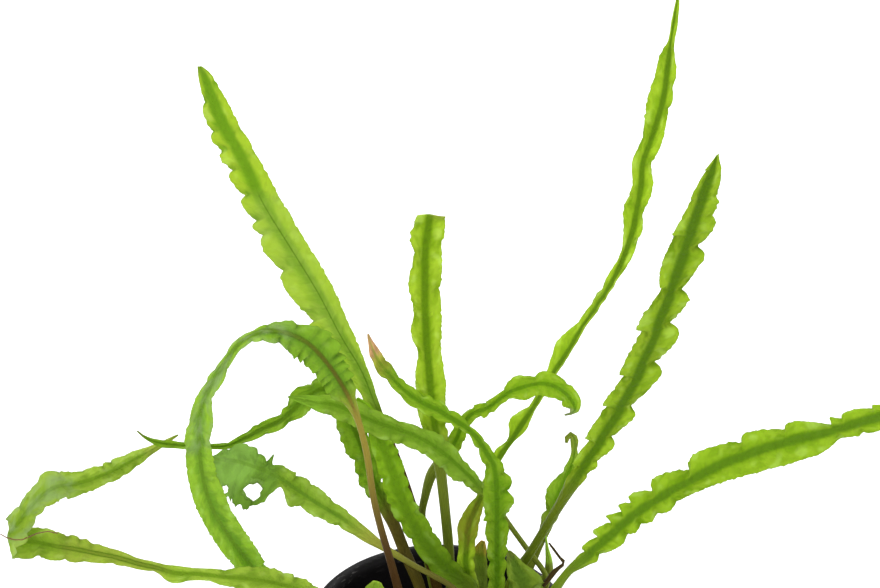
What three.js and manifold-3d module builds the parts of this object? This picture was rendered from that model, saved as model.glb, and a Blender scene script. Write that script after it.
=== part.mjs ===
// A potted Cryptocoryne balansae, an aquarium plant with long ruffled leaves, in a small black
// nursery pot. Millimetres, +Z up, the origin at the centre of the pot's underside.
// Each leaf with its stalk is one closed solid. The pot and the growing medium are solids too.
import * as THREE from "three";
import { mergeVertices } from "three/addons/utils/BufferGeometryUtils.js";
import Module from "manifold-3d";

const wasm = await Module();
wasm.setup();

// Pot
const POT_HEIGHT = 45;
const POT_RIM_RADIUS = 28;
const POT_RIM_WIDTH = 3;
const POT_RIM_DEPTH = 4;
const POT_RIM_EDGE = 0.6;
const POT_TOP_RADIUS = 26;
const POT_FOOT_RADIUS = 19.5;
const POT_WALL = 1.2;
const POT_FLOOR = 1.5;
const POT_FOOT_ROUND = 1;
const POT_SEGMENTS = 48;

// Growing medium, a mineral wool plug pressed into the pot
const MEDIUM_TOP = 37;
const MEDIUM_GAP = 0.3;
const MEDIUM_SEGMENTS = 32;
const MEDIUM_EDGE = 1.5;
const SOCKET_DEPTH = 6;
const SOCKET_SIDES = 8;
const SOCKET_CLEARANCE = 0.5;

// Leaves
const ROOT_DEPTH = 5; // how deep a stalk goes into the medium
const ROOT_RADIUS = 1.1;
const ROOT_RISE = 3; // a stalk leaves the medium upright, for this height
const RUFFLE_LENGTH = 5.4; // from one frill of the margin to the next
const BLADE_STEP = RUFFLE_LENGTH / 3.4;
const STALK_STEP = 5;
const STALK_HALF_WIDTH = 1.25; // a narrower stretch is stalk, a wider one is blade
const BLADE_HALF_WIDTH = 2.2;
const RIB_HALF_THICKNESS = 0.45;
const BLADE_HALF_THICKNESS = 0.3;
const LOBE_SHARE = 0.12;
const TEAR_SIDES = 10;

// The leaves are laid out as they are seen from in front and above, from a point VIEW_DISTANCE
// away from VIEW_CENTRE. A station of a leaf is [across, up, behind, left, right, turn]:
// its place across and up on the sloping plane through VIEW_CENTRE that faces that point, how far
// it lies behind the pot's axis, the widths of the blade to the left and right of its midrib,
// and how far the blade turns about the midrib from facing that point, in degrees.
const VIEW_TILT = THREE.MathUtils.degToRad(30);
const VIEW_DISTANCE = 600;
const VIEW_CENTRE = new THREE.Vector3(0, 0, 124.5);
const VIEW_RIGHT = new THREE.Vector3(1, 0, 0);
const VIEW_UP = new THREE.Vector3(0, Math.sin(VIEW_TILT), Math.cos(VIEW_TILT));
const VIEW_AHEAD = new THREE.Vector3(0, Math.cos(VIEW_TILT), -Math.sin(VIEW_TILT));
const VIEW_POINT = VIEW_CENTRE.clone().addScaledVector(VIEW_AHEAD, -VIEW_DISTANCE);

const GREEN_PALE = 0x9ccb3b;
const GREEN_BRIGHT = 0x7fb81f;
const GREEN_DEEP = 0x559a1e;
const GREEN_OLIVE = 0x6e8a1c;

// Each leaf: root is its place on the medium, ruffle the height of its frills.
const LEAVES = {
  leaf_tall_left: {
    colour: GREEN_PALE,
    root: [0.5, 5],
    ruffle: 0.7,
    stations: [
      [-1.2, -56.2, 6, 1.1, 1.1, 0],
      [-4.0, -47.2, 7, 1.0, 1.0, 0],
      [-8.0, -34.8, 8.5, 0.9, 0.9, 0],
      [-12.4, -23.6, 10, 1.4, 0.9, 0],
      [-15.8, -15.2, 12, 3.0, 1.5, -10],
      [-19.6, -8.8, 14, 4.1, 2.8, -15],
      [-24.6, 0.6, 17, 5.1, 3.5, -15],
      [-30.0, 9.4, 20, 4.9, 3.7, -15],
      [-35.4, 18.2, 23, 3.8, 3.9, -15],
      [-39.4, 26.8, 26, 3.8, 3.3, -15],
      [-43.8, 34.8, 29, 3.0, 3.0, -10],
      [-46.6, 42.0, 31, 1.4, 2.0, -5],
      [-47.5, 44.3, 31.6, 0.9, 1.1, 0],
      [-48.1, 45.5, 32, 0.35, 0.35, 0],
    ],
  },
  leaf_front_broad: {
    colour: GREEN_DEEP,
    root: [8, -2],
    ruffle: 0.6,
    stations: [
      [6.0, -59.2, -2.5, 1.8, 1.8, 0],
      [3.6, -56.8, -2.5, 2.1, 2.1, 0],
      [0.0, -53.6, -2, 2.6, 2.6, 0],
      [-3.6, -49.2, -1.5, 2.2, 3.0, 0],
      [-5.8, -45.2, -1, 2.5, 2.9, 0],
      [-7.6, -41.2, -0.5, 2.9, 1.8, 0],
      [-9.6, -35.2, 0, 2.8, 1.7, 0],
      [-11.4, -30.2, 0, 2.5, 1.6, 0],
      [-13.0, -26.2, 0, 1.9, 1.4, 0],
      [-14.8, -22.8, 0.5, 1.4, 1.1, 0],
      [-16.6, -20.8, 1, 0.3, 0.3, 0],
    ],
  },
  leaf_right_wavy: {
    colour: GREEN_BRIGHT,
    root: [7, 2],
    ruffle: 0.7,
    stations: [
      [6.2, -58.8, 0, 1.7, 1.7, 0],
      [5.2, -54.2, 0.5, 1.8, 1.8, 0],
      [5.4, -49.2, 1.5, 1.8, 1.9, 0],
      [5.8, -46.2, 2.5, 2.3, 2.1, 0],
      [7.0, -43.2, 4, 1.7, 1.5, 0],
      [8.6, -39.6, 6, 1.0, 1.0, -20],
      [10.2, -35.6, 7.5, 0.9, 0.9, -30],
      [12.4, -32.0, 9, 1.5, 0.6, -20],
      [14.2, -29.4, 10.2, 1.0, 0.6, -10],
      [16.2, -26.4, 11.4, 2.5, 1.4, -10],
      [18.6, -22.8, 13, 1.4, 0.7, -20],
      [20.8, -19.2, 14.6, 1.2, 0.9, -30],
      [23.0, -15.4, 16, 1.8, 0.8, -40],
      [25.8, -11.2, 17, 3.2, 0.8, -40],
      [28.4, -6.8, 18, 1.8, 0.9, -50],
      [31.0, -3.0, 19, 2.1, 1.0, -50],
      [32.4, -0.8, 19.5, 2.6, 1.0, -40],
      [34.6, 2.6, 20.5, 1.7, 0.9, -40],
      [36.6, 7.0, 21.5, 1.0, 1.7, -20],
      [38.6, 12.8, 23, 1.9, 1.8, 0],
      [39.4, 17.2, 24, 2.9, 1.8, 10],
      [40.2, 21.8, 25, 1.9, 2.3, 10],
      [40.6, 26.2, 26, 2.3, 2.0, 10],
      [42.0, 30.4, 27, 2.1, 2.2, 10],
      [43.8, 35.8, 28, 3.0, 1.9, 10],
      [44.8, 39.8, 28.5, 3.2, 1.8, 10],
      [45.4, 44.4, 29, 2.4, 1.8, 10],
      [45.8, 47.8, 29, 2.0, 1.3, 0],
      [46.2, 50.8, 29, 0.6, 0.8, 0],
      [46.8, 54.8, 29, 0.5, 0.9, 0],
      [47.8, 60.8, 29, 0.2, 0.2, 0],
    ],
  },
  leaf_crossing: {
    colour: GREEN_DEEP,
    root: [18.1, 5.5],
    ruffle: 0.6,
    stations: [
      [21.4, -58.2, 5.5, 0.6, 0.6, 0],
      [20.8, -55.6, 6, 0.6, 0.6, 0],
      [18.0, -51.8, 6, 0.6, 0.6, 0],
      [13.2, -45.2, 4.5, 0.6, 0.6, 0],
      [10.0, -40.6, 2.5, 0.9, 0.9, 0],
      [8.0, -38.8, 1.5, 1.4, 1.2, 0],
      [6.0, -36.6, 0, 2.0, 1.4, 0],
      [3.0, -33.8, -1, 3.0, 1.8, 0],
      [0.0, -31.2, -2, 2.6, 2.7, 0],
      [-4.0, -28.8, -3, 2.6, 2.2, 0],
      [-8.0, -27.2, -3.5, 2.8, 1.8, 0],
      [-12.4, -25.8, -4, 2.8, 2.2, 0],
      [-17.0, -23.8, -4, 2.6, 2.4, 0],
      [-21.0, -22.2, -4, 2.6, 2.0, 0],
      [-25.0, -21.6, -4, 1.6, 1.4, 0],
      [-28.0, -21.0, -4, 0.8, 0.8, 0],
      [-30.4, -20.6, -4, 0.2, 0.2, 0],
    ],
  },
  leaf_low_left: {
    colour: GREEN_BRIGHT,
    root: [-3, 2.5],
    ruffle: 0.9,
    stations: [
      [-4.0, -58.8, 2.5, 1.2, 1.2, 0],
      [-7.0, -51.6, 3, 1.3, 1.2, 0],
      [-9.2, -46.2, 3.5, 1.3, 1.3, 0],
      [-11.4, -41.2, 4, 1.9, 1.4, 0],
      [-13.4, -36.8, 4, 3.0, 1.6, 0],
      [-14.8, -32.8, 4, 2.8, 2.0, 0],
      [-16.4, -28.8, 4, 3.4, 2.2, 0],
      [-18.4, -24.2, 4, 3.0, 2.4, 0],
      [-21.0, -20.4, 4, 2.6, 2.4, 0],
      [-23.6, -19.0, 3.5, 2.4, 2.4, 0],
      [-27.4, -21.2, 2.5, 2.7, 2.6, 0],
      [-31.4, -25.0, 1, 1.7, 1.3, 0],
      [-35.6, -27.0, 0, 1.5, 1.4, 0],
      [-39.4, -29.0, -1, 0.9, 0.9, 0],
      [-43.0, -30.4, -2, 0.7, 0.7, 0],
      [-48.0, -30.4, -4, 0.6, 0.6, 0],
      [-52.4, -30.2, -5, 0.8, 0.8, 0],
      [-56.0, -29.8, -6, 0.8, 0.7, 0],
      [-58.4, -29.0, -6, 0.4, 0.4, 0],
      [-60.6, -27.4, -6, 0.15, 0.15, 0],
    ],
  },
  leaf_looped: {
    colour: GREEN_BRIGHT,
    root: [-5.5, -2.5],
    ruffle: 1.0,
    stations: [
      [-7.0, -63.6, -3.5, 1.0, 1.0, 0],
      [-8.4, -58.8, -5, 0.9, 0.9, 0],
      [-10.2, -52.4, -6.5, 0.8, 0.8, 0],
      [-12.0, -46.2, -7.5, 0.75, 0.75, 0],
      [-13.4, -40.2, -8.5, 0.7, 0.7, 0],
      [-14.6, -32.2, -9, 0.7, 0.7, 0],
      [-16.4, -25.2, -10, 0.7, 0.7, 0],
      [-18.0, -21.2, -10.5, 1.5, 1.3, 0],
      [-19.6, -18.2, -11, 3.2, 2.6, 0],
      [-21.4, -15.4, -12, 3.5, 3.2, 0],
      [-23.6, -12.6, -13, 3.3, 4.2, 0],
      [-26.0, -10.2, -14, 3.8, 4.2, 0],
      [-28.6, -8.6, -15, 3.6, 2.8, 0],
      [-31.6, -7.6, -16, 2.6, 2.3, 0],
      [-35.0, -7.4, -17, 2.2, 1.2, 0],
      [-38.0, -8.4, -18, 1.4, 0.8, 0],
      [-40.4, -10.2, -19, 1.1, 1.1, 0],
      [-42.4, -12.8, -20, 1.1, 0.8, 0],
      [-44.6, -16.2, -21, 1.7, 1.2, 0],
      [-46.8, -20.2, -22, 1.5, 1.5, 0],
      [-48.0, -24.2, -22.5, 2.6, 1.9, 0],
      [-48.2, -29.2, -22.5, 2.4, 2.8, 0],
      [-47.8, -34.2, -22, 2.6, 2.8, 0],
      [-46.8, -39.2, -21, 3.2, 2.9, 0],
      [-45.2, -43.6, -19.5, 3.2, 2.7, 0],
      [-42.4, -48.2, -17.5, 3.1, 2.9, 0],
      [-39.4, -52.2, -15, 2.9, 2.7, 0],
      [-36.4, -56.2, -12.5, 2.2, 2.2, 0],
      [-34.4, -59.6, -11, 0.3, 0.3, 0],
    ],
  },
  leaf_folded: {
    colour: GREEN_BRIGHT,
    root: [-9, -5],
    ruffle: 0.5,
    foldedOver: true, // its last number is the angle of the blade across the view
    stations: [
      [-14.0, -67.6, -9, 1.2, 1.2, 50],
      [-19.0, -64.2, -12, 1.3, 1.3, 58],
      [-24.0, -61.2, -14, 1.8, 1.8, 62],
      [-28.0, -59.2, -16, 2.4, 2.4, 68],
      [-33.0, -57.8, -18, 2.8, 2.8, 76],
      [-38.0, -57.0, -20, 2.6, 2.6, 82],
      [-43.0, -56.6, -21, 1.7, 1.7, 84],
      [-48.0, -56.0, -22, 1.2, 1.2, 84],
      [-53.0, -55.8, -22, 2.0, 1.5, 82],
      [-56.4, -54.8, -22, 1.1, 1.1, 76],
      [-60.0, -54.0, -22, 1.1, 1.1, 74],
      [-65.0, -52.6, -22, 1.5, 1.5, 76],
      [-69.0, -51.8, -22, 1.9, 1.9, 79],
      [-73.0, -51.0, -22, 2.6, 2.6, 80],
      [-77.0, -50.4, -22, 2.8, 2.9, 80],
      [-81.0, -49.6, -22, 3.2, 3.2, 84],
      [-84.0, -49.2, -22.3, 3.4, 3.2, 92],
      [-85.8, -48.6, -24, 3.3, 3.0, 100],
      [-84.4, -46.4, -25.7, 2.6, 2.6, 122],
      [-82.6, -43.6, -25.5, 2.2, 2.2, 140],
      [-80.4, -41.0, -24, 2.5, 2.5, 132],
      [-77.0, -38.6, -22, 3.0, 3.0, 112],
      [-73.0, -38.0, -19, 2.5, 2.5, 104],
      [-68.0, -36.4, -15, 2.1, 2.1, 110],
      [-64.0, -34.6, -10, 2.0, 2.0, 116],
      [-60.0, -32.4, -5, 1.4, 1.4, 118],
      [-57.0, -30.8, -1.5, 0.8, 0.8, 118],
      [-52.4, -28.2, 2, 0.2, 0.2, 118],
    ],
  },
  leaf_cut: {
    colour: GREEN_BRIGHT,
    root: [5, 5],
    ruffle: 0.5,
    stations: [
      [2.4, -59.2, 5.5, 1.2, 1.2, 0],
      [1.6, -49.2, 6, 1.1, 1.1, 0],
      [0.8, -41.2, 6, 1.1, 1.1, 0],
      [0.0, -34.2, 6, 1.3, 1.3, 0],
      [-0.6, -29.2, 6, 2.2, 2.2, 0],
      [-1.2, -25.2, 6, 3.0, 2.8, 10],
      [-1.8, -20.2, 6.5, 3.3, 3.1, 15],
      [-2.2, -15.2, 7, 3.0, 3.0, 15],
      [-2.6, -11.2, 7.5, 2.2, 3.0, 15],
      [-2.8, -7.2, 8, 3.3, 3.2, 15],
      [-3.0, -3.2, 8.5, 2.7, 3.3, 15],
      [-3.0, 2.8, 9.5, 3.5, 3.4, 15],
      [-3.0, 7.8, 10, 2.6, 3.4, 15],
      [-2.6, 11.8, 10.5, 3.5, 3.4, 15],
      [-2.0, 15.8, 11, 2.9, 3.3, 15],
    ],
  },
  leaf_twisted: {
    colour: GREEN_DEEP,
    root: [11, -4],
    ruffle: 0.6,
    stations: [
      [11.2, -61.2, -4.5, 1.7, 1.7, 0],
      [11.4, -56.2, -5, 1.9, 1.7, 0],
      [11.4, -50.2, -5.5, 2.0, 2.2, 0],
      [11.4, -45.2, -6, 2.5, 2.4, 0],
      [11.4, -40.2, -6.5, 2.7, 3.3, 0],
      [11.2, -36.8, -7, 2.4, 2.9, 0],
      [10.6, -34.0, -7, 1.9, 1.7, 0],
      [9.2, -31.6, -7.3, 1.5, 1.2, 0],
      [7.8, -29.3, -7.5, 1.3, 1.2, 0],
      [6.3, -27.6, -7.5, 0.8, 0.8, 0],
      [4.2, -26.0, -7.5, 1.2, 1.4, 0],
      [2.2, -24.8, -8, 1.3, 1.5, 0],
      [0.0, -23.4, -8, 1.8, 1.8, 0],
      [-3.0, -22.0, -8.5, 1.8, 1.8, 0],
      [-6.0, -20.2, -9, 1.6, 1.6, 0],
      [-8.4, -18.0, -9.5, 1.3, 1.3, 0],
      [-11.2, -14.8, -10.5, 1.5, 1.5, 0],
      [-12.8, -12.4, -11, 1.2, 1.3, 0],
      [-13.8, -10.0, -11.5, 0.6, 0.7, 0],
      [-14.4, -8.0, -12, 0.2, 0.2, 0],
    ],
  },
  leaf_arching_right: {
    colour: GREEN_BRIGHT,
    root: [1.5, 10],
    ruffle: 0.6,
    stations: [
      [-0.4, -61.2, 10, 1.0, 1.0, 0],
      [-2.4, -53.2, 10.5, 0.9, 0.9, 0],
      [-3.6, -44.2, 10.5, 0.8, 0.8, 0],
      [-3.0, -40.6, 10.5, 0.9, 0.9, 0],
      [-1.8, -36.2, 10.5, 1.1, 1.2, 0],
      [0.0, -33.6, 10.5, 1.2, 1.3, 0],
      [1.8, -31.6, 10.5, 1.5, 1.5, 0],
      [3.2, -29.2, 10.5, 1.7, 1.8, 0],
      [4.4, -26.4, 10, 1.4, 1.4, 0],
      [6.4, -24.0, 9, 1.3, 1.3, 0],
      [9.0, -23.0, 7.5, 1.5, 1.6, 0],
      [11.2, -21.6, 6, 1.1, 1.2, 0],
      [13.6, -19.8, 4.5, 1.5, 1.4, 0],
      [16.6, -18.6, 2.5, 2.6, 2.5, 0],
      [19.0, -18.0, 0.5, 2.0, 2.4, 0],
      [21.4, -18.0, -1.3, 2.4, 2.5, 0],
      [23.6, -18.8, -3, 2.3, 2.3, 0],
      [25.4, -20.2, -4.6, 1.9, 2.0, 0],
      [26.7, -22.0, -6.2, 1.6, 1.9, 0],
      [26.9, -23.3, -7.4, 0.9, 1.1, 0],
      [26.2, -23.9, -8, 0.35, 0.35, 0],
      [24.9, -24.2, -8.6, 0.2, 0.2, 0],
    ],
  },
  leaf_right_straight: {
    colour: GREEN_BRIGHT,
    root: [13.5, 4],
    ruffle: 0.8,
    stations: [
      [13.6, -59.6, 3.5, 1.2, 1.2, 0],
      [15.4, -55.6, 3, 1.1, 1.1, 0],
      [18.0, -51.8, 2, 0.95, 0.95, 0],
      [20.6, -47.6, 0.5, 0.95, 0.95, 0],
      [24.4, -41.4, -2, 1.1, 1.1, 0],
      [27.0, -37.2, -4, 1.7, 1.5, 5],
      [30.0, -32.6, -6, 2.5, 2.3, 10],
      [32.6, -28.6, -8, 3.1, 2.7, 15],
      [35.6, -23.6, -10, 3.7, 3.1, 20],
      [39.0, -17.4, -13, 3.6, 3.6, 20],
      [42.2, -10.2, -16, 4.0, 4.2, 20],
      [44.4, -4.2, -18, 3.9, 3.7, 20],
      [46.4, 1.2, -20, 2.6, 3.5, 20],
      [48.2, 6.4, -22, 3.7, 3.5, 20],
      [49.8, 11.2, -24, 3.6, 4.0, 20],
      [51.4, 16.2, -26, 2.6, 3.2, 15],
      [53.2, 21.6, -28, 1.7, 2.4, 10],
      [54.6, 25.2, -29, 1.2, 1.3, 5],
      [55.4, 27.8, -30, 0.2, 0.2, 0],
    ],
  },
  leaf_right_low: {
    colour: GREEN_BRIGHT,
    root: [16.6, -5],
    ruffle: 0.9,
    stations: [
      [20.0, -63.6, -6, 1.1, 1.1, 0],
      [23.2, -58.8, -7.5, 1.0, 1.0, 0],
      [26.0, -55.2, -9, 0.9, 0.9, 0],
      [28.6, -53.2, -10, 1.4, 1.6, 0],
      [31.2, -50.8, -11.5, 2.2, 2.4, -5],
      [34.4, -48.0, -13.5, 2.9, 2.9, -10],
      [38.6, -44.4, -16, 3.3, 3.1, -15],
      [44.0, -40.8, -19, 3.7, 3.5, -20],
      [50.4, -37.2, -22, 3.9, 3.2, -20],
      [57.0, -33.8, -25, 3.9, 3.7, -20],
      [63.6, -31.4, -27.5, 3.7, 4.3, -20],
      [70.0, -29.4, -30, 3.4, 4.5, -20],
      [76.0, -28.0, -32, 2.7, 3.8, -20],
      [80.4, -26.8, -33.5, 2.3, 2.4, -20],
      [85.0, -25.4, -35, 2.5, 2.8, -15],
      [90.0, -24.0, -36, 2.0, 2.2, -10],
      [95.0, -22.8, -37, 1.2, 1.2, -5],
      [99.0, -22.0, -38, 0.2, 0.2, 0],
    ],
  },
  leaf_short_behind: {
    colour: GREEN_BRIGHT,
    root: [11.4, 8],
    ruffle: 0.5,
    stations: [
      [14.4, -61.2, 8, 1.0, 1.0, 0],
      [17.6, -55.2, 9, 1.0, 1.0, 0],
      [20.2, -49.2, 10, 1.0, 1.0, 0],
      [22.2, -44.2, 11, 1.9, 1.5, 0],
      [24.0, -39.4, 12, 2.5, 1.7, 0],
      [25.8, -35.6, 12.8, 1.6, 1.3, 0],
      [26.6, -33.4, 13, 0.9, 0.9, 0],
      [26.9, -31.0, 12.8, 0.75, 0.75, 0],
      [26.8, -29.0, 12.4, 0.85, 0.85, 0],
      [26.2, -28.1, 12, 0.8, 0.8, 0],
      [25.5, -28.6, 11.5, 0.6, 0.6, 0],
      [25.3, -29.8, 11, 0.3, 0.3, 0],
    ],
  },
  leaf_small_back: {
    colour: GREEN_OLIVE,
    root: [16.5, 10],
    ruffle: 0.2,
    stations: [
      [17.1, -60.0, 9.5, 0.8, 0.8, 0],
      [21.4, -56.4, 9, 1.0, 1.0, 0],
      [21.8, -53.6, 9, 0.8, 0.8, 0],
      [21.4, -50.8, 9, 0.4, 0.4, 0],
      [21.2, -48.4, 9, 0.15, 0.15, 0],
    ],
  },
  leaf_torn: {
    colour: GREEN_DEEP,
    root: [6.5, -7],
    ruffle: 0.5,
    stations: [
      [5.0, -62.0, -7.5, 0.8, 0.8, 0],
      [2.4, -58.6, -7, 0.6, 0.6, 0],
      [-1.6, -56.2, -5.5, 0.6, 0.6, 0],
      [-5.0, -54.4, -3.5, 0.6, 0.6, 0],
      [-8.4, -52.4, -1.5, 0.7, 0.7, 0],
      [-11.6, -50.4, -1, 0.9, 0.8, 0],
      [-14.0, -48.8, -1, 1.3, 1.2, 0],
      [-16.6, -47.0, -1, 1.5, 1.5, 0],
      [-19.4, -45.0, -1, 1.9, 1.8, 0],
      [-23.0, -42.8, -1.5, 2.4, 2.2, 0],
      [-26.0, -40.9, -1.8, 2.8, 2.8, 0],
      [-28.6, -39.1, -2.3, 3.6, 2.8, 0],
      [-31.0, -37.5, -3.2, 1.8, 2.6, 0],
      [-32.6, -36.5, -3.7, 4.6, 2.5, 0],
      [-33.9, -35.9, -4.1, 6.6, 2.1, 0],
      [-35.2, -35.2, -4.5, 7.6, 2.4, 0],
      [-37.0, -34.6, -5, 8.5, 3.1, 0],
      [-40.0, -33.6, -5.5, 7.8, 3.8, 0],
      [-42.4, -33.2, -6, 7.4, 2.6, 0],
      [-44.4, -33.0, -6, 4.8, 1.4, 0],
      [-45.6, -32.8, -6, 1.2, 0.4, 0],
    ],
    // Two round tears in the rotting end: across, up, behind, radius
    tears: [
      [-37.4, -39.0, -4.8, 1.45],
      [-42.6, -38.0, -6, 0.7],
    ],
  },
  leaf_dying: {
    colour: 0xb09a2c,
    root: [10, 5],
    ruffle: 0.3,
    stations: [
      [8.6, -61.2, 5, 1.0, 1.0, 0],
      [8.1, -55.2, 4.5, 1.9, 1.5, 0],
      [8.0, -52.4, 4.5, 1.9, 1.4, 0],
      [8.3, -50.6, 4.5, 1.3, 1.1, 0],
      [8.6, -49.4, 4.5, 0.5, 0.5, 0],
    ],
  },
  leaf_sheath: {
    colour: GREEN_DEEP,
    root: [14, 0],
    ruffle: 0.2,
    stations: [
      [17.0, -61.2, -1.8, 4.2, 4.2, 0],
      [16.6, -58.6, -1.8, 4.2, 4.6, 0],
      [15.9, -56.4, -1.8, 3.0, 3.2, 0],
      [15.0, -54.2, -1.8, 2.0, 1.8, 0],
      [14.2, -52.4, -1.8, 1.1, 1.0, 0],
      [13.7, -51.4, -1.8, 0.4, 0.4, 0],
    ],
  },
  leaf_young_front: {
    colour: GREEN_PALE,
    root: [-15, -12.5],
    ruffle: 0.3,
    stations: [
      [-13.8, -70.2, -13.5, 0.9, 0.9, 0],
      [-13.4, -66.2, -14, 1.6, 1.6, 0],
      [-13.2, -61.8, -14.5, 2.4, 2.4, 0],
      [-13.0, -59.2, -15, 2.2, 2.4, 0],
      [-12.6, -57.6, -15, 0.9, 1.0, 0],
    ],
  },
  dead_root: {
    colour: 0x3a2a18,
    root: [18.5, 1],
    ruffle: 0,
    stations: [
      [19.6, -59.6, 0, 0.5, 0.5, 0],
      [21.6, -57.2, 0.5, 0.55, 0.55, 0],
      [23.0, -55.5, 0.8, 0.65, 0.5, 0],
      [24.1, -54.5, 1, 0.35, 0.35, 0],
      [24.9, -53.8, 1.2, 0.45, 0.45, 0],
      [24.2, -53.0, 2, 0.3, 0.3, 0],
      [22.7, -51.0, 3, 0.28, 0.28, 0],
      [21.8, -49.8, 4, 0.2, 0.2, 0],
    ],
  },
};

// The place of a point that is seen `across` and `up` on the sloping plane and lies `behind` the axis
function place(across, up, behind) {
  const ray = new THREE.Vector3()
    .addScaledVector(VIEW_AHEAD, VIEW_DISTANCE)
    .addScaledVector(VIEW_RIGHT, across)
    .addScaledVector(VIEW_UP, up);
  const reach = (behind - VIEW_POINT.y) / ray.y;
  return ray.multiplyScalar(reach).add(VIEW_POINT);
}

// The inverse of place
function seenAt(point) {
  const offset = point.clone().sub(VIEW_CENTRE);
  const share = VIEW_DISTANCE / (VIEW_DISTANCE + offset.dot(VIEW_AHEAD));
  return [offset.dot(VIEW_RIGHT) * share, offset.dot(VIEW_UP) * share, point.y];
}

// A smooth curve through rows of numbers, each row `at` its own distance along
function smoothRow(rows, at, distance) {
  let i = 0;
  while (i < at.length - 2 && at[i + 1] < distance) i += 1;
  const span = at[i + 1] - at[i];
  const t = (distance - at[i]) / span;
  const before = Math.max(i - 1, 0);
  const after = Math.min(i + 2, at.length - 1);
  return rows[i].map((value, k) => {
    const end = rows[i + 1][k];
    const slopeIn = ((end - rows[before][k]) / (at[i + 1] - at[before])) * span;
    const slopeOut = ((rows[after][k] - value) / (at[after] - at[i])) * span;
    const turn = t * t * (3 - 2 * t);
    return (
      value * (1 - turn) +
      end * turn +
      slopeIn * t * (1 - t) * (1 - t) -
      slopeOut * t * t * (1 - t)
    );
  });
}

// The six points round one section of a leaf: left margin, left half, midrib, right half,
// right margin and the back of the midrib
function sectionPoints(row, direction, along, leaf, phase) {
  const [across, up, behind, leftSize, rightSize, turn] = row;
  const centre = place(across, up, behind);
  const toView = VIEW_POINT.clone().sub(centre).normalize();
  let side;
  if (leaf.foldedOver) {
    const angle = THREE.MathUtils.degToRad(turn);
    side = VIEW_RIGHT.clone().multiplyScalar(Math.cos(angle));
    side.addScaledVector(VIEW_UP, Math.sin(angle));
  } else {
    side = direction.clone().cross(toView).normalize();
    side.applyAxisAngle(direction, THREE.MathUtils.degToRad(turn));
  }
  const face = side.clone().cross(direction).normalize();
  const widest = Math.max(leftSize, rightSize);
  const blade = THREE.MathUtils.smoothstep(widest, STALK_HALF_WIDTH, BLADE_HALF_WIDTH);
  const thin = Math.min(1, widest / STALK_HALF_WIDTH);
  const rib = THREE.MathUtils.lerp(widest, RIB_HALF_THICKNESS, blade) * (blade > 0 ? 1 : thin);
  const half = THREE.MathUtils.lerp(widest * 0.7, BLADE_HALF_THICKNESS, blade);
  const wave = (2 * Math.PI * along) / RUFFLE_LENGTH + phase;
  const left = Math.max(0.12, leftSize) * (1 + blade * LOBE_SHARE * Math.sin(wave + 1));
  const right = Math.max(0.12, rightSize) * (1 + blade * LOBE_SHARE * Math.sin(wave * 0.93 + 3));
  const leftLift = blade * leaf.ruffle * Math.sin(wave);
  const rightLift = blade * leaf.ruffle * Math.sin(wave * 0.93 + 2);
  const halfWay = THREE.MathUtils.lerp(0.7, 0.5, blade);
  const flat = [
    [-left, leftLift],
    [-left * halfWay, leftLift * 0.5 + half],
    [0, rib],
    [right * halfWay, rightLift * 0.5 + half],
    [right, rightLift],
    [0, -rib],
  ];
  return flat.map(([x, y]) =>
    centre.clone().addScaledVector(side, x).addScaledVector(face, y),
  );
}

// The rings of points of a whole leaf, from its root to its tip
function leafRings(leaf, phase) {
  const [x, y] = leaf.root;
  const foot = new THREE.Vector3(x, y, MEDIUM_TOP - ROOT_DEPTH);
  const neck = new THREE.Vector3(x, y, MEDIUM_TOP + ROOT_RISE);
  const firstTurn = leaf.stations[0][5];
  const stalk = Math.min(ROOT_RADIUS, leaf.stations[0][3]);
  const rows = [
    [...seenAt(foot), stalk, stalk, firstTurn],
    [...seenAt(neck), stalk, stalk, firstTurn],
    ...leaf.stations,
  ];
  const at = [0];
  for (let i = 1; i < rows.length; i += 1) {
    const gap = place(...rows[i].slice(0, 3)).distanceTo(place(...rows[i - 1].slice(0, 3)));
    at.push(at[i - 1] + gap);
  }
  const whole = at[at.length - 1];
  const stops = [0];
  while (stops[stops.length - 1] < whole) {
    const last = stops[stops.length - 1];
    const row = smoothRow(rows, at, last);
    const blade = Math.max(row[3], row[4]) > STALK_HALF_WIDTH || leaf.foldedOver;
    const step = blade ? BLADE_STEP : STALK_STEP;
    stops.push(Math.min(whole, last + step));
  }
  const tooShort = stops.length > 2 && whole - stops[stops.length - 2] < BLADE_STEP / 3;
  if (tooShort) stops.splice(stops.length - 2, 1);
  return stops.map((along) => {
    const reach = 0.4;
    const ahead = smoothRow(rows, at, Math.min(whole, along + reach));
    const behind = smoothRow(rows, at, Math.max(0, along - reach));
    const direction = place(...ahead.slice(0, 3)).sub(place(...behind.slice(0, 3))).normalize();
    return sectionPoints(smoothRow(rows, at, along), direction, along, leaf, phase);
  });
}

// A closed skin over rings of equal length
function skin(rings) {
  const around = rings[0].length;
  const positions = rings.flat().flatMap((p) => [p.x, p.y, p.z]);
  const faces = [];
  for (let i = 0; i < rings.length - 1; i += 1) {
    for (let k = 0; k < around; k += 1) {
      const a = i * around + k;
      const b = i * around + ((k + 1) % around);
      faces.push(a, b, b + around, a, b + around, a + around);
    }
  }
  const end = (rings.length - 1) * around;
  for (let k = 0; k < around - 2; k += 1) {
    faces.push(around - 1, k + 1, k);
    faces.push(end + around - 1, end + k, end + k + 1);
  }
  const geometry = new THREE.BufferGeometry();
  geometry.setAttribute("position", new THREE.Float32BufferAttribute(positions, 3));
  geometry.setIndex(faces);
  return geometry;
}

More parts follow.
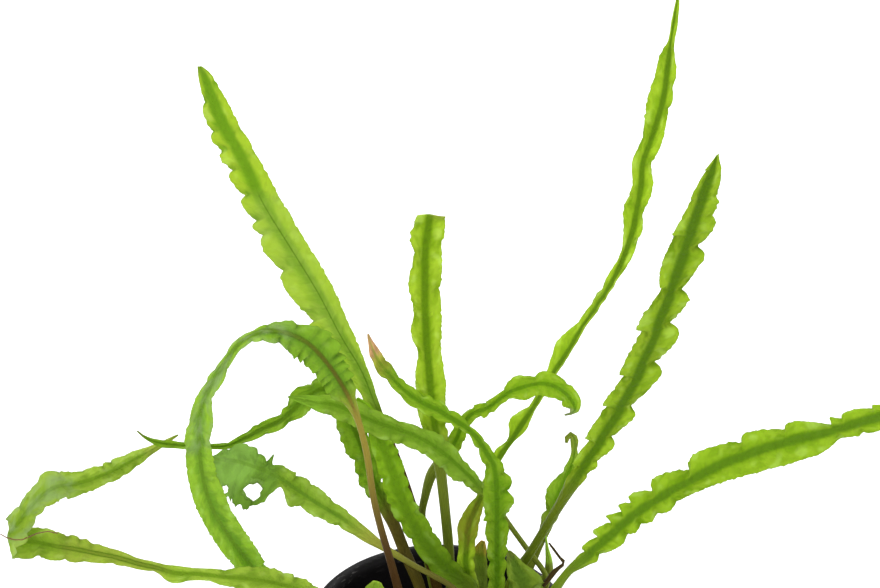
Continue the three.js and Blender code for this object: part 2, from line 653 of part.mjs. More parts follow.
function toSolid(geometry) {
  const bare = geometry.clone();
  bare.deleteAttribute("normal");
  bare.deleteAttribute("uv");
  const merged = mergeVertices(bare, 1e-4);
  const mesh = new wasm.Mesh({
    numProp: 3,
    vertProperties: new Float32Array(merged.attributes.position.array),
    triVerts: new Uint32Array(merged.index.array),
  });
  return new wasm.Manifold(mesh);
}

function toGeometry(solid) {
  const mesh = solid.getMesh();
  const geometry = new THREE.BufferGeometry();
  geometry.setAttribute("position", new THREE.BufferAttribute(mesh.vertProperties, 3));
  geometry.setIndex(new THREE.BufferAttribute(mesh.triVerts, 1));
  return geometry;
}

function named(name, geometry, colour, roughness) {
  geometry.computeVertexNormals();
  const material = new THREE.MeshStandardMaterial({ color: colour, roughness, metalness: 0 });
  const mesh = new THREE.Mesh(geometry, material);
  mesh.name = name;
  return mesh;
}

// The pot: a tapered cup with a flat lip that stands out round its mouth
function potGeometry() {
  const rimUnder = POT_HEIGHT - POT_RIM_DEPTH;
  const innerTop = POT_RIM_RADIUS - POT_RIM_WIDTH;
  const slope = (POT_TOP_RADIUS - POT_FOOT_RADIUS) / POT_HEIGHT;
  const innerFoot = POT_FOOT_RADIUS + slope * POT_FLOOR - POT_WALL;
  const profile = [
    [0, 0],
    [POT_FOOT_RADIUS - POT_FOOT_ROUND, 0],
    [POT_FOOT_RADIUS, POT_FOOT_ROUND],
    [POT_FOOT_RADIUS + slope * rimUnder, rimUnder],
    [POT_RIM_RADIUS, rimUnder],
    [POT_RIM_RADIUS, POT_HEIGHT - POT_RIM_EDGE],
    [POT_RIM_RADIUS - POT_RIM_EDGE, POT_HEIGHT],
    [innerTop, POT_HEIGHT],
    [innerTop - POT_RIM_EDGE, POT_HEIGHT - POT_RIM_EDGE],
    [innerFoot, POT_FLOOR],
    [0, POT_FLOOR],
  ];
  return latheUp(profile, POT_SEGMENTS);
}

// A turned solid round Z from [radius, height] points
function latheUp(profile, segments) {
  const points = profile.map(([radius, height]) => new THREE.Vector2(radius, height));
  const geometry = new THREE.LatheGeometry(points, segments);
  geometry.rotateX(Math.PI / 2);
  return geometry;
}

// The inner radius of the pot at a height
function potInside(height) {
  const slope = (POT_TOP_RADIUS - POT_FOOT_RADIUS) / POT_HEIGHT;
  const innerFoot = POT_FOOT_RADIUS + slope * POT_FLOOR - POT_WALL;
  const innerTop = POT_RIM_RADIUS - POT_RIM_WIDTH - POT_RIM_EDGE;
  const share = (height - POT_FLOOR) / (POT_HEIGHT - POT_RIM_EDGE - POT_FLOOR);
  return THREE.MathUtils.lerp(innerFoot, innerTop, share);
}

// The medium, with a socket for each stalk
function mediumGeometry() {
  const foot = POT_FLOOR + MEDIUM_GAP;
  const shoulder = MEDIUM_TOP - MEDIUM_EDGE;
  const profile = [
    [0, foot],
    [potInside(foot) - MEDIUM_GAP, foot],
    [potInside(shoulder) - MEDIUM_GAP, shoulder],
    [potInside(MEDIUM_TOP) - MEDIUM_GAP - MEDIUM_EDGE, MEDIUM_TOP],
    [0, MEDIUM_TOP],
  ];
  let solid = toSolid(latheUp(profile, MEDIUM_SEGMENTS));
  for (const leaf of Object.values(LEAVES)) {
    const stalk = Math.min(ROOT_RADIUS, leaf.stations[0][3]);
    const radius = stalk + SOCKET_CLEARANCE;
    const socket = new THREE.CylinderGeometry(radius, radius, 2 * SOCKET_DEPTH, SOCKET_SIDES);
    socket.rotateX(Math.PI / 2);
    socket.translate(leaf.root[0], leaf.root[1], MEDIUM_TOP);
    solid = solid.subtract(toSolid(socket));
  }
  return toGeometry(solid);
}

// A round tear through a blade, along the line of sight
function tearSolid([across, up, behind, radius]) {
  const centre = place(across, up, behind);
  const tear = new THREE.CylinderGeometry(radius, radius, 12, TEAR_SIDES);
  const along = VIEW_POINT.clone().sub(centre).normalize();
  const turn = new THREE.Quaternion().setFromUnitVectors(new THREE.Vector3(0, 1, 0), along);
  tear.applyQuaternion(turn);
  tear.translate(centre.x, centre.y, centre.z);
  return toSolid(tear);
}

const plant = new THREE.Group();
plant.add(named("pot", potGeometry(), 0x141313, 0.45));
plant.add(named("growing_medium", mediumGeometry(), 0x3b2d20, 0.95));
Object.entries(LEAVES).forEach(([name, leaf], i) => {
  let geometry = skin(leafRings(leaf, i * 1.7));
  if (leaf.tears) {
    let solid = toSolid(geometry);
    leaf.tears.forEach((tear) => {
      solid = solid.subtract(tearSolid(tear));
    });
    geometry = toGeometry(solid);
  }
  plant.add(named(name, geometry, leaf.colour, 0.5));
});

export default plant;
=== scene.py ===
# %% [markdown]
# # A potted Cryptocoryne balansae
# An aquarium plant with long, narrow leaves whose margins are ruffled, in a small black plastic pot.
# The plant's solids are already packed. They are loaded as a fixed frame, in metres, with +Z up,
# +X to the right of the picture and +Y away from the viewer. Everything made here lies in that
# frame, and each leaf takes the place of the plain solid of the same name.

# %% Load the frame
import math
import random
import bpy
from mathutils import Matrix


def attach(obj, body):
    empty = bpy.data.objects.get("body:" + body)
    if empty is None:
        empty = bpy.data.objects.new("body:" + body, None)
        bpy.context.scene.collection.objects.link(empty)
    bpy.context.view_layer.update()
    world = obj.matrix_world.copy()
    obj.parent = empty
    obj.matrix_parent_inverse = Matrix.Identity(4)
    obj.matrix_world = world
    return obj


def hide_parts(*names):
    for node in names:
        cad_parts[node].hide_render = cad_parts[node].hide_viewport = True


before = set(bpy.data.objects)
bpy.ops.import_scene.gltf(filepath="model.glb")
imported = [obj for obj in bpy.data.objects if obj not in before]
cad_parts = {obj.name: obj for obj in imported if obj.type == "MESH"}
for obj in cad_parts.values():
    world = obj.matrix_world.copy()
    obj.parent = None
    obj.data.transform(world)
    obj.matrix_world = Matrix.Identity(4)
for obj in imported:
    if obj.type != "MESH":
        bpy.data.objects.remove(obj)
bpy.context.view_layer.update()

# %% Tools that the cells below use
from types import SimpleNamespace

import bpy
from mathutils import Matrix, Vector, noise

MM = 0.001

# %% [markdown]
# ## The view
# The plant is seen from in front and a little above, from 600 mm away. The same three numbers place
# the camera and the leaves: a leaf is laid out on the sloping plane that faces the camera, as it is
# seen there, and then moved nearer or further along the line of sight. That way its outline is right
# from the front while its depth is a free choice.

# %% The camera
VIEW_TILT = math.radians(30)
VIEW_DISTANCE = 600
VIEW_CENTRE = Vector((0, 0, 124.5))
PICTURE_WIDTH = 176
SENSOR_WIDTH = 36
NEAREST_SEEN = 0.01

view_right = Vector((1, 0, 0))
view_up = Vector((0, math.sin(VIEW_TILT), math.cos(VIEW_TILT)))
view_ahead = Vector((0, math.cos(VIEW_TILT), -math.sin(VIEW_TILT)))
view_point = VIEW_CENTRE - view_ahead * VIEW_DISTANCE


def new_object(name, data):
    made = bpy.data.objects.new(name, data)
    bpy.context.scene.collection.objects.link(made)
    return made


def set_camera():
    data = bpy.data.cameras.new("camera")
    data.sensor_width = SENSOR_WIDTH
    data.lens = SENSOR_WIDTH * VIEW_DISTANCE / PICTURE_WIDTH
    data.clip_start = NEAREST_SEEN
    camera = new_object("camera", data)
    camera.location = view_point * MM
    camera.rotation_euler = view_ahead.to_track_quat("-Z", "Y").to_euler()
    bpy.context.scene.camera = camera
    return camera


camera = set_camera()
print("camera lens:", round(camera.data.lens, 1), "mm, at", camera.location[:])

# %% [markdown]
# ## Floor and light
# The plant was photographed against plain white, in soft light from all round with a little more
# from above and the left. A white floor, a white world and large soft lamps give that. One lamp
# stands behind the plant, because thin leaves glow when light comes through them.

# %% The floor
FLOOR_SIZE = 8.0
FLOOR_MIDDLE = (0, 1.0, 0)
FLOOR_WHITE = (0.92, 0.92, 0.92)
FLOOR_ROUGHNESS = 0.9


def new_material(name):
    """A material, its node tree and its shader."""
    material = bpy.data.materials.new(name)
    material.use_nodes = True
    return material, material.node_tree, material.node_tree.nodes["Principled BSDF"]


def plain_material(name, colour, roughness):
    material, _, shader = new_material(name)
    shader.inputs["Base Color"].default_value = (*colour, 1)
    shader.inputs["Roughness"].default_value = roughness
    return material


def lay_floor():
    bpy.ops.mesh.primitive_plane_add(size=FLOOR_SIZE, location=FLOOR_MIDDLE)
    floor = bpy.context.object
    floor.name = "floor"
    bpy.ops.object.transform_apply(location=True, rotation=False, scale=False)
    floor.data.materials.append(plain_material("floor_white", FLOOR_WHITE, FLOOR_ROUGHNESS))


bpy.ops.object.select_all(action="DESELECT")
lay_floor()
print("floor:", FLOOR_SIZE, "m wide")

# %% The lamps and the world
WHITE = (1, 1, 1, 1)
WORLD_STRENGTH = 0.9


def hang_lamp(name, place, aim_height, size, power):
    """A round soft lamp, in metres and watts, that points at the pot's axis."""
    data = bpy.data.lights.new(name, "AREA")
    data.shape = "DISK"
    data.size = size
    data.energy = power
    lamp = new_object(name, data)
    lamp.location = place
    aim = Vector((0, 0, aim_height))
    lamp.rotation_euler = (aim - Vector(place)).to_track_quat("-Z", "Y").to_euler()


def light_world(strength):
    world = bpy.data.worlds.new("white_studio")
    world.use_nodes = True
    background = world.node_tree.nodes["Background"]
    background.inputs["Color"].default_value = WHITE
    background.inputs["Strength"].default_value = strength
    bpy.context.scene.world = world


hang_lamp("lamp_above_left", (-0.7, -0.5, 1.1), aim_height=0.1, size=0.7, power=11)
hang_lamp("lamp_behind", (0.3, 0.9, 0.7), aim_height=0.12, size=0.8, power=9)
hang_lamp("lamp_right", (0.9, -0.4, 0.6), aim_height=0.1, size=0.8, power=4)
light_world(WORLD_STRENGTH)
bpy.context.scene.view_settings.view_transform = "Standard"
print("lamps:", len(bpy.data.lights))

# %% [markdown]
# ## A pen for node trees
# Every finish below is built from a few kinds of node. The pen adds one to its tree, and sets or
# links whatever is given to it, so that a finish reads like a sum. Noise scales are in cycles per
# metre of the object, unless the noise is given cells of its own.

# %% The pen
class Pen:
    """Writes nodes into one tree."""

    def __init__(self, tree):
        self.tree = tree

    def give(self, socket, value):
        if isinstance(value, bpy.types.NodeSocket):
            self.tree.links.new(value, socket)
        else:
            socket.default_value = value

    def add(self, kind, inputs=None, **settings):
        node = self.tree.nodes.new("ShaderNode" + kind)
        for key, value in settings.items():
            setattr(node, key, value)
        for key, value in (inputs or {}).items():
            self.give(node.inputs[key], value)
        return node

    def number(self, operation, *values):
        return self.add("Math", dict(enumerate(values)), operation=operation).outputs[0]

    def times(self, first, second):
        return self.number("MULTIPLY", first, second)

    def plus(self, first, second):
        return self.number("ADD", first, second)

    def minus(self, first, second):
        return self.number("SUBTRACT", first, second)

    def line(self, value, slope, start):
        """start where value is 0, and slope more where it is 1."""
        return self.number("MULTIPLY_ADD", value, slope, start)

    def ramp(self, value, low, high, start=0.0, end=1.0):
        """start where value is low, end where it is high, and a soft step between."""
        inputs = {"Value": value, "From Min": low, "From Max": high, "To Min": start, "To Max": end}
        return self.add("MapRange", inputs, interpolation_type="SMOOTHSTEP").outputs["Result"]

    def blend(self, share, first, second):
        """The first colour where share is 0, and the second where it is 1."""
        return self.add("Mix", {0: share, 6: first, 7: second}, data_type="RGBA").outputs[2]

    def shaded(self, value, colour, saturation=1.0):
        inputs = {"Value": value, "Saturation": saturation, "Color": colour}
        return self.add("HueSaturation", inputs).outputs["Color"]

    def carried(self, name):
        """A number that the skin carries at each of its points."""
        return self.add("Attribute", attribute_name=name).outputs["Fac"]

    def spot(self):
        """The place on the object."""
        return self.add("TexCoord").outputs["Object"]

    def clouds(self, scale, detail, place):
        inputs = {"Scale": scale, "Detail": detail, "Vector": place}
        return self.add("TexNoise", inputs).outputs["Fac"]

    def join_xyz(self, x, y, z=0.0):
        return self.add("CombineXYZ", {"X": x, "Y": y, "Z": z}).outputs[0]

    def bump(self, height, strength, distance):
        inputs = {"Strength": strength, "Distance": distance, "Height": height}
        return self.add("Bump", inputs).outputs["Normal"]


# %% [markdown]
# ## The pot
# A small moulded pot of black plastic with a rolled lip. On the real pot one wall is pressed into
# shape in a mould. By hand it is a disc for the foot that is pulled up ring by ring: out along the
# wall, round the lip, down the inside, and the last disc stays as the inner floor.

# %% Helpers for editing a piece
MERGE_DISTANCE = 1e-7


def start_editing(piece):
    """Opens a piece in Edit Mode with all of it selected."""
    bpy.ops.object.select_all(action="DESELECT")
    piece.select_set(True)
    bpy.context.view_layer.objects.active = piece
    bpy.ops.object.mode_set(mode="EDIT")
    bpy.ops.mesh.select_all(action="SELECT")


def close_up():
    """Merges the points that meet, closes open ends, turns all faces outward and leaves Edit Mode."""
    bpy.ops.mesh.select_all(action="SELECT")
    bpy.ops.mesh.remove_doubles(threshold=MERGE_DISTANCE)
    bpy.ops.mesh.fill_holes(sides=0)
    bpy.ops.mesh.normals_make_consistent(inside=False)
    bpy.ops.object.mode_set(mode="OBJECT")


# %% The pot's profile, as [radius, height] in millimetres
POT_SIDES = 96
SMOOTH_BELOW = math.radians(40)
pot_rings = [
    [18.5, 0.0],
    [19.2, 0.25],
    [19.5, 1.0],
    [25.2, 40.2],
    [25.42, 41.0],
    [27.4, 41.0],
    [27.85, 41.3],
    [28.0, 42.0],
    [28.0, 43.4],
    [27.8, 44.3],
    [27.3, 44.8],
    [26.6, 45.0],
    [25.9, 44.9],
    [25.2, 44.5],
    [24.7, 43.8],
    [24.4, 42.6],
    [18.6, 1.6],
]


def pull_up_rings(name, rings, sides):
    """A shape that is round about the axis, left in Edit Mode with its last disc selected."""
    radius, height = rings[0]
    bpy.ops.mesh.primitive_circle_add(vertices=sides, radius=radius * MM, fill_type="NGON",
                                      location=(0, 0, height * MM))
    bpy.ops.object.transform_apply(location=True, rotation=False, scale=False)
    piece = bpy.context.object
    piece.name = name
    start_editing(piece)
    for (radius, height), (wider, higher) in zip(rings, rings[1:]):
        rise = (0, 0, (higher - height) * MM)
        bpy.ops.mesh.extrude_region_move(TRANSFORM_OT_translate={"value": rise})
        bpy.ops.transform.resize(value=(wider / radius, wider / radius, 1))
    return piece


pot = pull_up_rings("pot_shell", pot_rings, POT_SIDES)
close_up()
bpy.ops.object.shade_smooth_by_angle(angle=SMOOTH_BELOW)
print("pot:", len(pot.data.polygons), "faces, size", [round(side / MM, 1) for side in pot.dimensions])

# %% [markdown]
# The plastic is near black. Handling has left pale scuffs on the lip: short scratches that run round
# it, and a dull bloom. Scratches that run round are noise stretched along the angle about the axis.
# The scuffs' grey lies only on the lip's top, where it also stands in for the highlight there: it is
# partly real wear and partly painted highlight.

# %% Black plastic
POT_BLACK = (0.005, 0.0045, 0.005, 1)
# grey of the scuffs, which also paints the highlight on the lip's top
SCUFF_AND_HIGHLIGHT_GREY = (0.11, 0.105, 0.10, 1)
POT_SPECULAR = 0.05
SCRATCHES_ROUND = 9.0
SCRATCHES_PER_METRE = 1500.0
LIP_EDGE = 0.0415
LIP_TOP = 0.0440
SCUFF_AND_HIGHLIGHT_SHARE = 0.8


def black_plastic():
    material, tree, shader = new_material("black_plastic")
    pen = Pen(tree)
    spot = pen.spot()
    x, y, z = pen.add("SeparateXYZ", {"Vector": spot}).outputs
    radius = pen.number("SQRT", pen.plus(pen.times(x, x), pen.times(y, y)))
    around = pen.join_xyz(
        pen.times(pen.number("ARCTAN2", y, x), SCRATCHES_ROUND),
        pen.times(radius, SCRATCHES_PER_METRE),
        pen.times(z, SCRATCHES_PER_METRE),
    )
    scratches = pen.ramp(pen.clouds(1.0, 6.0, around), 0.56, 0.72)
    worn_places = pen.ramp(pen.clouds(70.0, 2.0, spot), 0.46, 0.62)
    on_lip = pen.ramp(z, LIP_EDGE, LIP_TOP)
    # the scuffs lie on the lip's top: partly wear, partly a painted highlight
    scuff_and_highlight = pen.times(pen.times(scratches, worn_places), on_lip)
    bloom = pen.clouds(260.0, 3.0, spot)
    rough = pen.plus(pen.line(bloom, 0.3, 0.28), pen.times(scuff_and_highlight, 0.2))
    pen.give(shader.inputs["Base Color"], pen.blend(pen.times(scuff_and_highlight, SCUFF_AND_HIGHLIGHT_SHARE), POT_BLACK, SCUFF_AND_HIGHLIGHT_GREY))
    pen.give(shader.inputs["Roughness"], rough)
    pen.give(shader.inputs["Normal"], pen.bump(pen.plus(bloom, scratches), 0.35, 0.0002))
    shader.inputs["Specular IOR Level"].default_value = POT_SPECULAR
    return material


pot.data.materials.append(black_plastic())
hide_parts("pot")
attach(pot, "root")

# %% [markdown]
# ## The growing medium
# The roots sit in a plug of damp mineral wool, dark with peat and algae. It is a plain plug whose top
# is broken up with a noise and covered with loose short fibres. Only its top can be seen, deep in
# the pot.

# %% The plug
MEDIUM_TOP = 37
WOOL_SIDES = 64
WOOL_ROUGH = 0.8
COARSE_LUMPS = 0.25
FINE_LUMPS = 0.9
ROUGH_ABOVE = 36.2
wool_rings = [
    [18.1, 1.9],
    [23.1, 35.2],
    [22.6, 36.4],
    [21.5, 36.9],
    [17.0, MEDIUM_TOP],
    [12.0, MEDIUM_TOP],
    [7.0, MEDIUM_TOP],
    [2.5, MEDIUM_TOP],
]


def raised_wool(x, y):
    """How far the top of the wool stands above or below its mean height, in millimetres."""
    coarse = noise.noise(Vector((x * COARSE_LUMPS, y * COARSE_LUMPS, 3.1)))
    fine = noise.noise(Vector((x * FINE_LUMPS, y * FINE_LUMPS, 8.7)))
    return WOOL_ROUGH * (coarse + 0.5 * fine)


def make_wool():
    plug = pull_up_rings("wool_plug", wool_rings, WOOL_SIDES)
    bpy.ops.mesh.poke()
    bpy.ops.mesh.select_all(action="SELECT")
    bpy.ops.mesh.subdivide(number_cuts=1)
    close_up()
    for vertex in plug.data.vertices:
        if vertex.co.z > ROUGH_ABOVE * MM:
            vertex.co.z += raised_wool(vertex.co.x / MM, vertex.co.y / MM) * MM
    bpy.ops.object.shade_smooth()
    return plug


wool = make_wool()
print("wool plug:", len(wool.data.polygons), "faces")

# %% Dark wool
WOOL_ROUGHNESS = 0.95
WOOL_SPECULAR = 0.1
PEAT_DARK = (0.012, 0.009, 0.006, 1)
PEAT_LIGHT = (0.055, 0.040, 0.024, 1)


def wool_material(name, dark, light):
    material, tree, shader = new_material(name)
    pen = Pen(tree)
    spot = pen.spot()
    matted = pen.ramp(pen.clouds(420.0, 8.0, spot), 0.35, 0.68)
    tone = pen.line(pen.clouds(90.0, 2.0, spot), 1.2, 0.4)
    pen.give(shader.inputs["Base Color"], pen.shaded(tone, pen.blend(matted, dark, light)))
    pen.give(shader.inputs["Normal"], pen.bump(matted, 0.8, 0.0005))
    shader.inputs["Roughness"].default_value = WOOL_ROUGHNESS
    shader.inputs["Specular IOR Level"].default_value = WOOL_SPECULAR
    return material


wool.data.materials.append(wool_material("dark_wool", PEAT_DARK, PEAT_LIGHT))
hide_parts("growing_medium")
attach(wool, "root")

# %% [markdown]
# Loose fibres lie on the wool in all directions. Each is one short bent hair, and they are joined
# into one piece that goes with the plug. Three sides are enough for something so thin.

# %% One bent hair
HAIR_SIDES = 3


def add_hair(corners, faces, points, radius):
    """Adds the corners and faces of one bent hair through the points."""
    first = len(corners)
    steps = len(points) - 1
    for k, point in enumerate(points):
        ahead = (points[min(k + 1, steps)] - points[max(k - 1, 0)]).normalized()
        side = ahead.cross(Vector((0, 0, 1))).normalized()
        over = side.cross(ahead)
        for turn in range(HAIR_SIDES):
            angle = 2 * math.pi * turn / HAIR_SIDES
            corners.append((point + radius * (side * math.cos(angle) + over * math.sin(angle))) * MM)
    for k in range(steps):
        for turn in range(HAIR_SIDES):
            a = first + HAIR_SIDES * k + turn
            b = first + HAIR_SIDES * k + (turn + 1) % HAIR_SIDES
            faces.append((a, b, b + HAIR_SIDES, a + HAIR_SIDES))
    last = first + HAIR_SIDES * steps
    faces.append((first + 2, first + 1, first))
    faces.append((last, last + 1, last + 2))


def hairs_piece(name, lines, radius):
    """One piece with a hair along each line of points."""
    corners = []
    faces = []
    for points in lines:
        add_hair(corners, faces, points, radius)
    mesh = bpy.data.meshes.new(name)
    mesh.from_pydata(corners, [], faces)
    piece = new_object(name, mesh)
    start_editing(piece)
    close_up()
    bpy.ops.object.shade_smooth()
    return piece


# %% Loose fibres
FIBRES = 420
FIBRE_RADIUS = 0.06
FIBRE_STEPS = 5
FIBRE_CLEARANCE = 0.02
FIBRES_WITHIN = 21
FIBRE_ENDS_WITHIN = 21.5
FIBRE_LENGTHS = (1.5, 5.0)
FIBRE_CURLS = (-0.5, 0.5)
FIBRE_HUMPS = (0.1, 0.7)
FIBRE_SEED = 12
FIBRE_DARK = (0.05, 0.036, 0.02, 1)
FIBRE_LIGHT = (0.16, 0.13, 0.08, 1)


def fibre_points(chance):
    """A bent line that lies on the wool, or None if it would run out over the rim."""
    angle = chance.uniform(0, 2 * math.pi)
    far = FIBRES_WITHIN * math.sqrt(chance.random())
    x = far * math.cos(angle)
    y = far * math.sin(angle)
    heading = chance.uniform(0, 2 * math.pi)
    length = chance.uniform(*FIBRE_LENGTHS)
    curl = chance.uniform(*FIBRE_CURLS)
    hump = chance.uniform(*FIBRE_HUMPS)
    points = []
    for k in range(FIBRE_STEPS + 1):
        rise = hump * math.sin(math.pi * k / FIBRE_STEPS)
        points.append(Vector((x, y, MEDIUM_TOP + raised_wool(x, y) + rise + FIBRE_CLEARANCE)))
        heading += curl
        x += length / FIBRE_STEPS * math.cos(heading)
        y += length / FIBRE_STEPS * math.sin(heading)
    return points if math.hypot(x, y) < FIBRE_ENDS_WITHIN else None


def fibre_lines(count):
    chance = random.Random(FIBRE_SEED)
    lines = []
    while len(lines) < count:
        points = fibre_points(chance)
        if points:
            lines.append(points)
    return lines


fibres = hairs_piece("wool_fibres", fibre_lines(FIBRES), FIBRE_RADIUS)
fibres.data.materials.append(wool_material("wool_fibre", FIBRE_DARK, FIBRE_LIGHT))
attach(fibres, "root")
print("fibres:", len(fibres.data.polygons), "faces")

# %% [markdown]
# ## How a leaf is made
# A leaf is one long closed skin. It starts as a flat grid: one way round the leaf's section, the
# other way along its midrib. Each row of the grid is moved on to the leaf in code, because no hand
# tool follows a midrib that bends, twists and carries frills. Low down the section is a round
# stalk, and further up it opens into a thin blade with a thick midrib.
#
# A leaf is written as stations, in millimetres: [across, up, behind, left, right, turn]. Across and
# up say where the midrib is seen, behind says how far it lies beyond the pot's axis, left and right
# are the widths of the two halves of the blade, and turn is how far the blade turns about its
# midrib, in degrees. A right half that isn't written is as wide as the left one, and a turn that
# isn't written is 0.

# %% Where a seen point lies
PICTURE_MIDDLE = (440, 294)
PIXELS_PER_MM = 5


def from_pixels(marks):
    """Notches marked in the picture's pixels as [column, row, depth], in the picture's millimetres."""
    middle_column, middle_row = PICTURE_MIDDLE
    return [
        [(column - middle_column) / PIXELS_PER_MM, (middle_row - row) / PIXELS_PER_MM, *depth]
        for column, row, *depth in marks
    ]


def place(across, up, behind):
    """The point that is seen at across and up, and lies that far behind the pot's axis."""
    ray = view_ahead * VIEW_DISTANCE + view_right * across + view_up * up
    reach = (behind - view_point.y) / ray.y
    return view_point + ray * reach


def seen_at(point):
    """Across, up and behind of a point."""
    offset = point - VIEW_CENTRE
    share = VIEW_DISTANCE / (VIEW_DISTANCE + offset.dot(view_ahead))
    return [offset.dot(view_right) * share, offset.dot(view_up) * share, point.y]


# %% A smooth curve through the stations
def smooth_row(rows, at, distance):
    """The station at a distance along the midrib, on a smooth curve through all the rows."""
    i = 0
    while i < len(at) - 2 and at[i + 1] < distance:
        i += 1
    span = at[i + 1] - at[i]
    t = (distance - at[i]) / span
    before = max(i - 1, 0)
    after = min(i + 2, len(at) - 1)
    turn = t * t * (3 - 2 * t)
    row = []
    for k, value in enumerate(rows[i]):
        end = rows[i + 1][k]
        slope_in = (end - rows[before][k]) / (at[i + 1] - at[before]) * span
        slope_out = (rows[after][k] - value) / (at[after] - at[i]) * span
        bend = slope_in * t * (1 - t) ** 2 - slope_out * t * t * (1 - t)
        row.append(value * (1 - turn) + end * turn + bend)
    return row


def smooth_step(value, low, high):
    t = min(1, max(0, (value - low) / (high - low)))
    return t * t * (3 - 2 * t)


# %% [markdown]
# The margin grows faster than the midrib, so it has nowhere to go but up and down. That makes
# frills: each one is a rounded lobe that bulges forward and ends in a sharp notch where the margin
# dips back. The two margins frill out of step with each other, and no two frills are quite alike.
# Notches that can be made out are written down, as [across, up, depth], and others are made up.

# %% The frills
CROWDED_SHARE = 0.9
DEPTHS = (0.35, 1.0)
SPACINGS = (0.55, 0.8, 0.95, 1.1, 1.3, 1.5)
LAST_GAP = 0.3
GAP_AFTER_SEEN = 0.6
LOBE_ROUNDNESS = 0.8
NO_LOBE = 0.5


def random_marks(leaf, chance, low, high):
    """Places of notches between low and high, each as [along, depth]."""
    marks = []
    along = low + chance.random() * leaf["frill"]
    while along < high - LAST_GAP * leaf["frill"]:
        marks.append([along, chance.uniform(*DEPTHS)])
        crowded = leaf["tight"][0] < along < leaf["tight"][1]
        spacing = leaf["frill"] * (CROWDED_SHARE if crowded else 1)
        along += spacing * chance.choice(SPACINGS)
    return marks


def margin_marks(whole, leaf, edge, midrib):
    """All notches along one margin, from the root: those seen, and made-up ones beyond them."""
    chance = random.Random(leaf["seed"] * 100 + edge)
    seen = []
    for across, up, *depth in leaf["notches"][edge]:
        nearest = min(midrib, key=lambda spot: math.hypot(spot[1] - across, spot[2] - up))
        seen.append([nearest[0], depth[0] if depth else 1])
    if not seen:
        return random_marks(leaf, chance, -leaf["frill"], whole + leaf["frill"])
    seen.sort()
    before = random_marks(leaf, chance, 0, seen[0][0])
    past_seen = seen[-1][0] + GAP_AFTER_SEEN * leaf["frill"]
    return before + seen + random_marks(leaf, chance, past_seen, whole + leaf["frill"])


def lobe_at(marks, along, peak):
    """-1 in a deep notch of the margin and 1 on the crest of a lobe, which lies at the share peak."""
    for (start, depth_in), (end, depth_out) in zip(marks, marks[1:]):
        if start <= along < end:
            share = (along - start) / (end - start)
            rising = share < peak
            side = share / peak if rising else (1 - share) / (1 - peak)
            steep = (peak if rising else 1 - peak) < 0.5
            round_share = 1 - 2 * abs(peak - 0.5)
            rounded = math.sin(math.pi / 2 * side) ** LOBE_ROUNDNESS
            gentle = round_share * rounded + (1 - round_share) * side
            shape = math.sqrt(1 - (1 - side) ** 2) if steep else gentle
            return 1 - 2 * (1 - shape) * (depth_in if rising else depth_out)
    return NO_LOBE


# %% [markdown]
# The points of a section are closer together near the margins and on the midrib, where the shape
# turns fast. Each place has a share q, from -1 at the left margin to 1 at the right one, and a
# cover, 1 on the face and -1 on the back.

# %% Places round the section of a leaf
HALF_COLUMNS = 14
BESIDE_MIDDLE = 0.09


def ring_shares():
    """Places round the section from the left margin over the face, then back behind it."""
    face = [math.sin(math.pi / 2 * (-1 + 2 * k / HALF_COLUMNS)) for k in range(HALF_COLUMNS + 1)]
    face = sorted(face + [-BESIDE_MIDDLE, BESIDE_MIDDLE])
    return [(q, 1) for q in face] + [(q, -1) for q in reversed(face[1:-1])] + [(face[0], 1)]


RING = ring_shares()
print("points round a leaf:", len(RING))

# %% [markdown]
# Several things hold for a whole section: which way the blade faces there, how far the stalk has
# opened into a blade, how strong the frills are, and how far the midrib has tapered off near the tip.
# They change smoothly along the leaf, so that no step shows in its skin.

# %% How a leaf changes along its midrib
STALK_HALF_WIDTH = 1.25
BLADE_HALF_WIDTH = 2.0
RIB_TAPER_WIDTH = 2.4
BLADE_FADE = 8
OPENING = 6
TIGHT_FADE = 5
RIDGE_FADE = (-8, 4)
TAPERED = (0.7, 0.85)


def blade_frame(row, direction, leaf):
    """The midrib's point, the way across the blade, and the way its face looks."""
    centre = place(*row[:3])
    turn = math.radians(row[5])
    if leaf["folded_over"]:
        side = view_right * math.cos(turn) + view_up * math.sin(turn)
    else:
        side = direction.cross((view_point - centre).normalized()).normalized()
        side.rotate(Matrix.Rotation(turn, 3, direction))
    face = side.cross(direction).normalized()
    return centre, direction.cross(face).normalized(), face


def state_at(row, along, leaf):
    """What holds for one whole section, such as how much of a blade it is (0 on the stalk)."""
    widest = max(row[3], row[4])
    stalk_end = leaf["stalk_end"]
    past_stalk = smooth_step(along, stalk_end, stalk_end + BLADE_FADE)
    start, end, gain = leaf["tight"]
    tight = smooth_step(along, start, start + TIGHT_FADE) * (1 - smooth_step(along, end - TIGHT_FADE, end))
    ridge_gone = smooth_step(along, end + RIDGE_FADE[0], end + RIDGE_FADE[1])
    near_tip = smooth_step(along, TAPERED[0] * leaf["whole"], TAPERED[1] * leaf["whole"])
    return SimpleNamespace(
        widest=widest,
        blade=max(past_stalk, smooth_step(widest, STALK_HALF_WIDTH, BLADE_HALF_WIDTH)),
        opened=smooth_step(along, stalk_end - OPENING, stalk_end + OPENING),
        ruffle=leaf["ruffle"] * (1 + gain * tight),
        ridge=leaf["front_rib"] * (1 - ridge_gone),
        taper=1 - near_tip * (1 - min(1, widest / RIB_TAPER_WIDTH)),
        lobes=[lobe_at(leaf["marks"][edge], along, leaf["peaks"][edge]) for edge in (0, 1)],
    )


# %% [markdown]
# A real blade is a bent sheet with a midrib that stands out mostly on its back. So the height of the
# surface is worked out in two parts: how the sheet's middle layer is bent, and how thick it is.

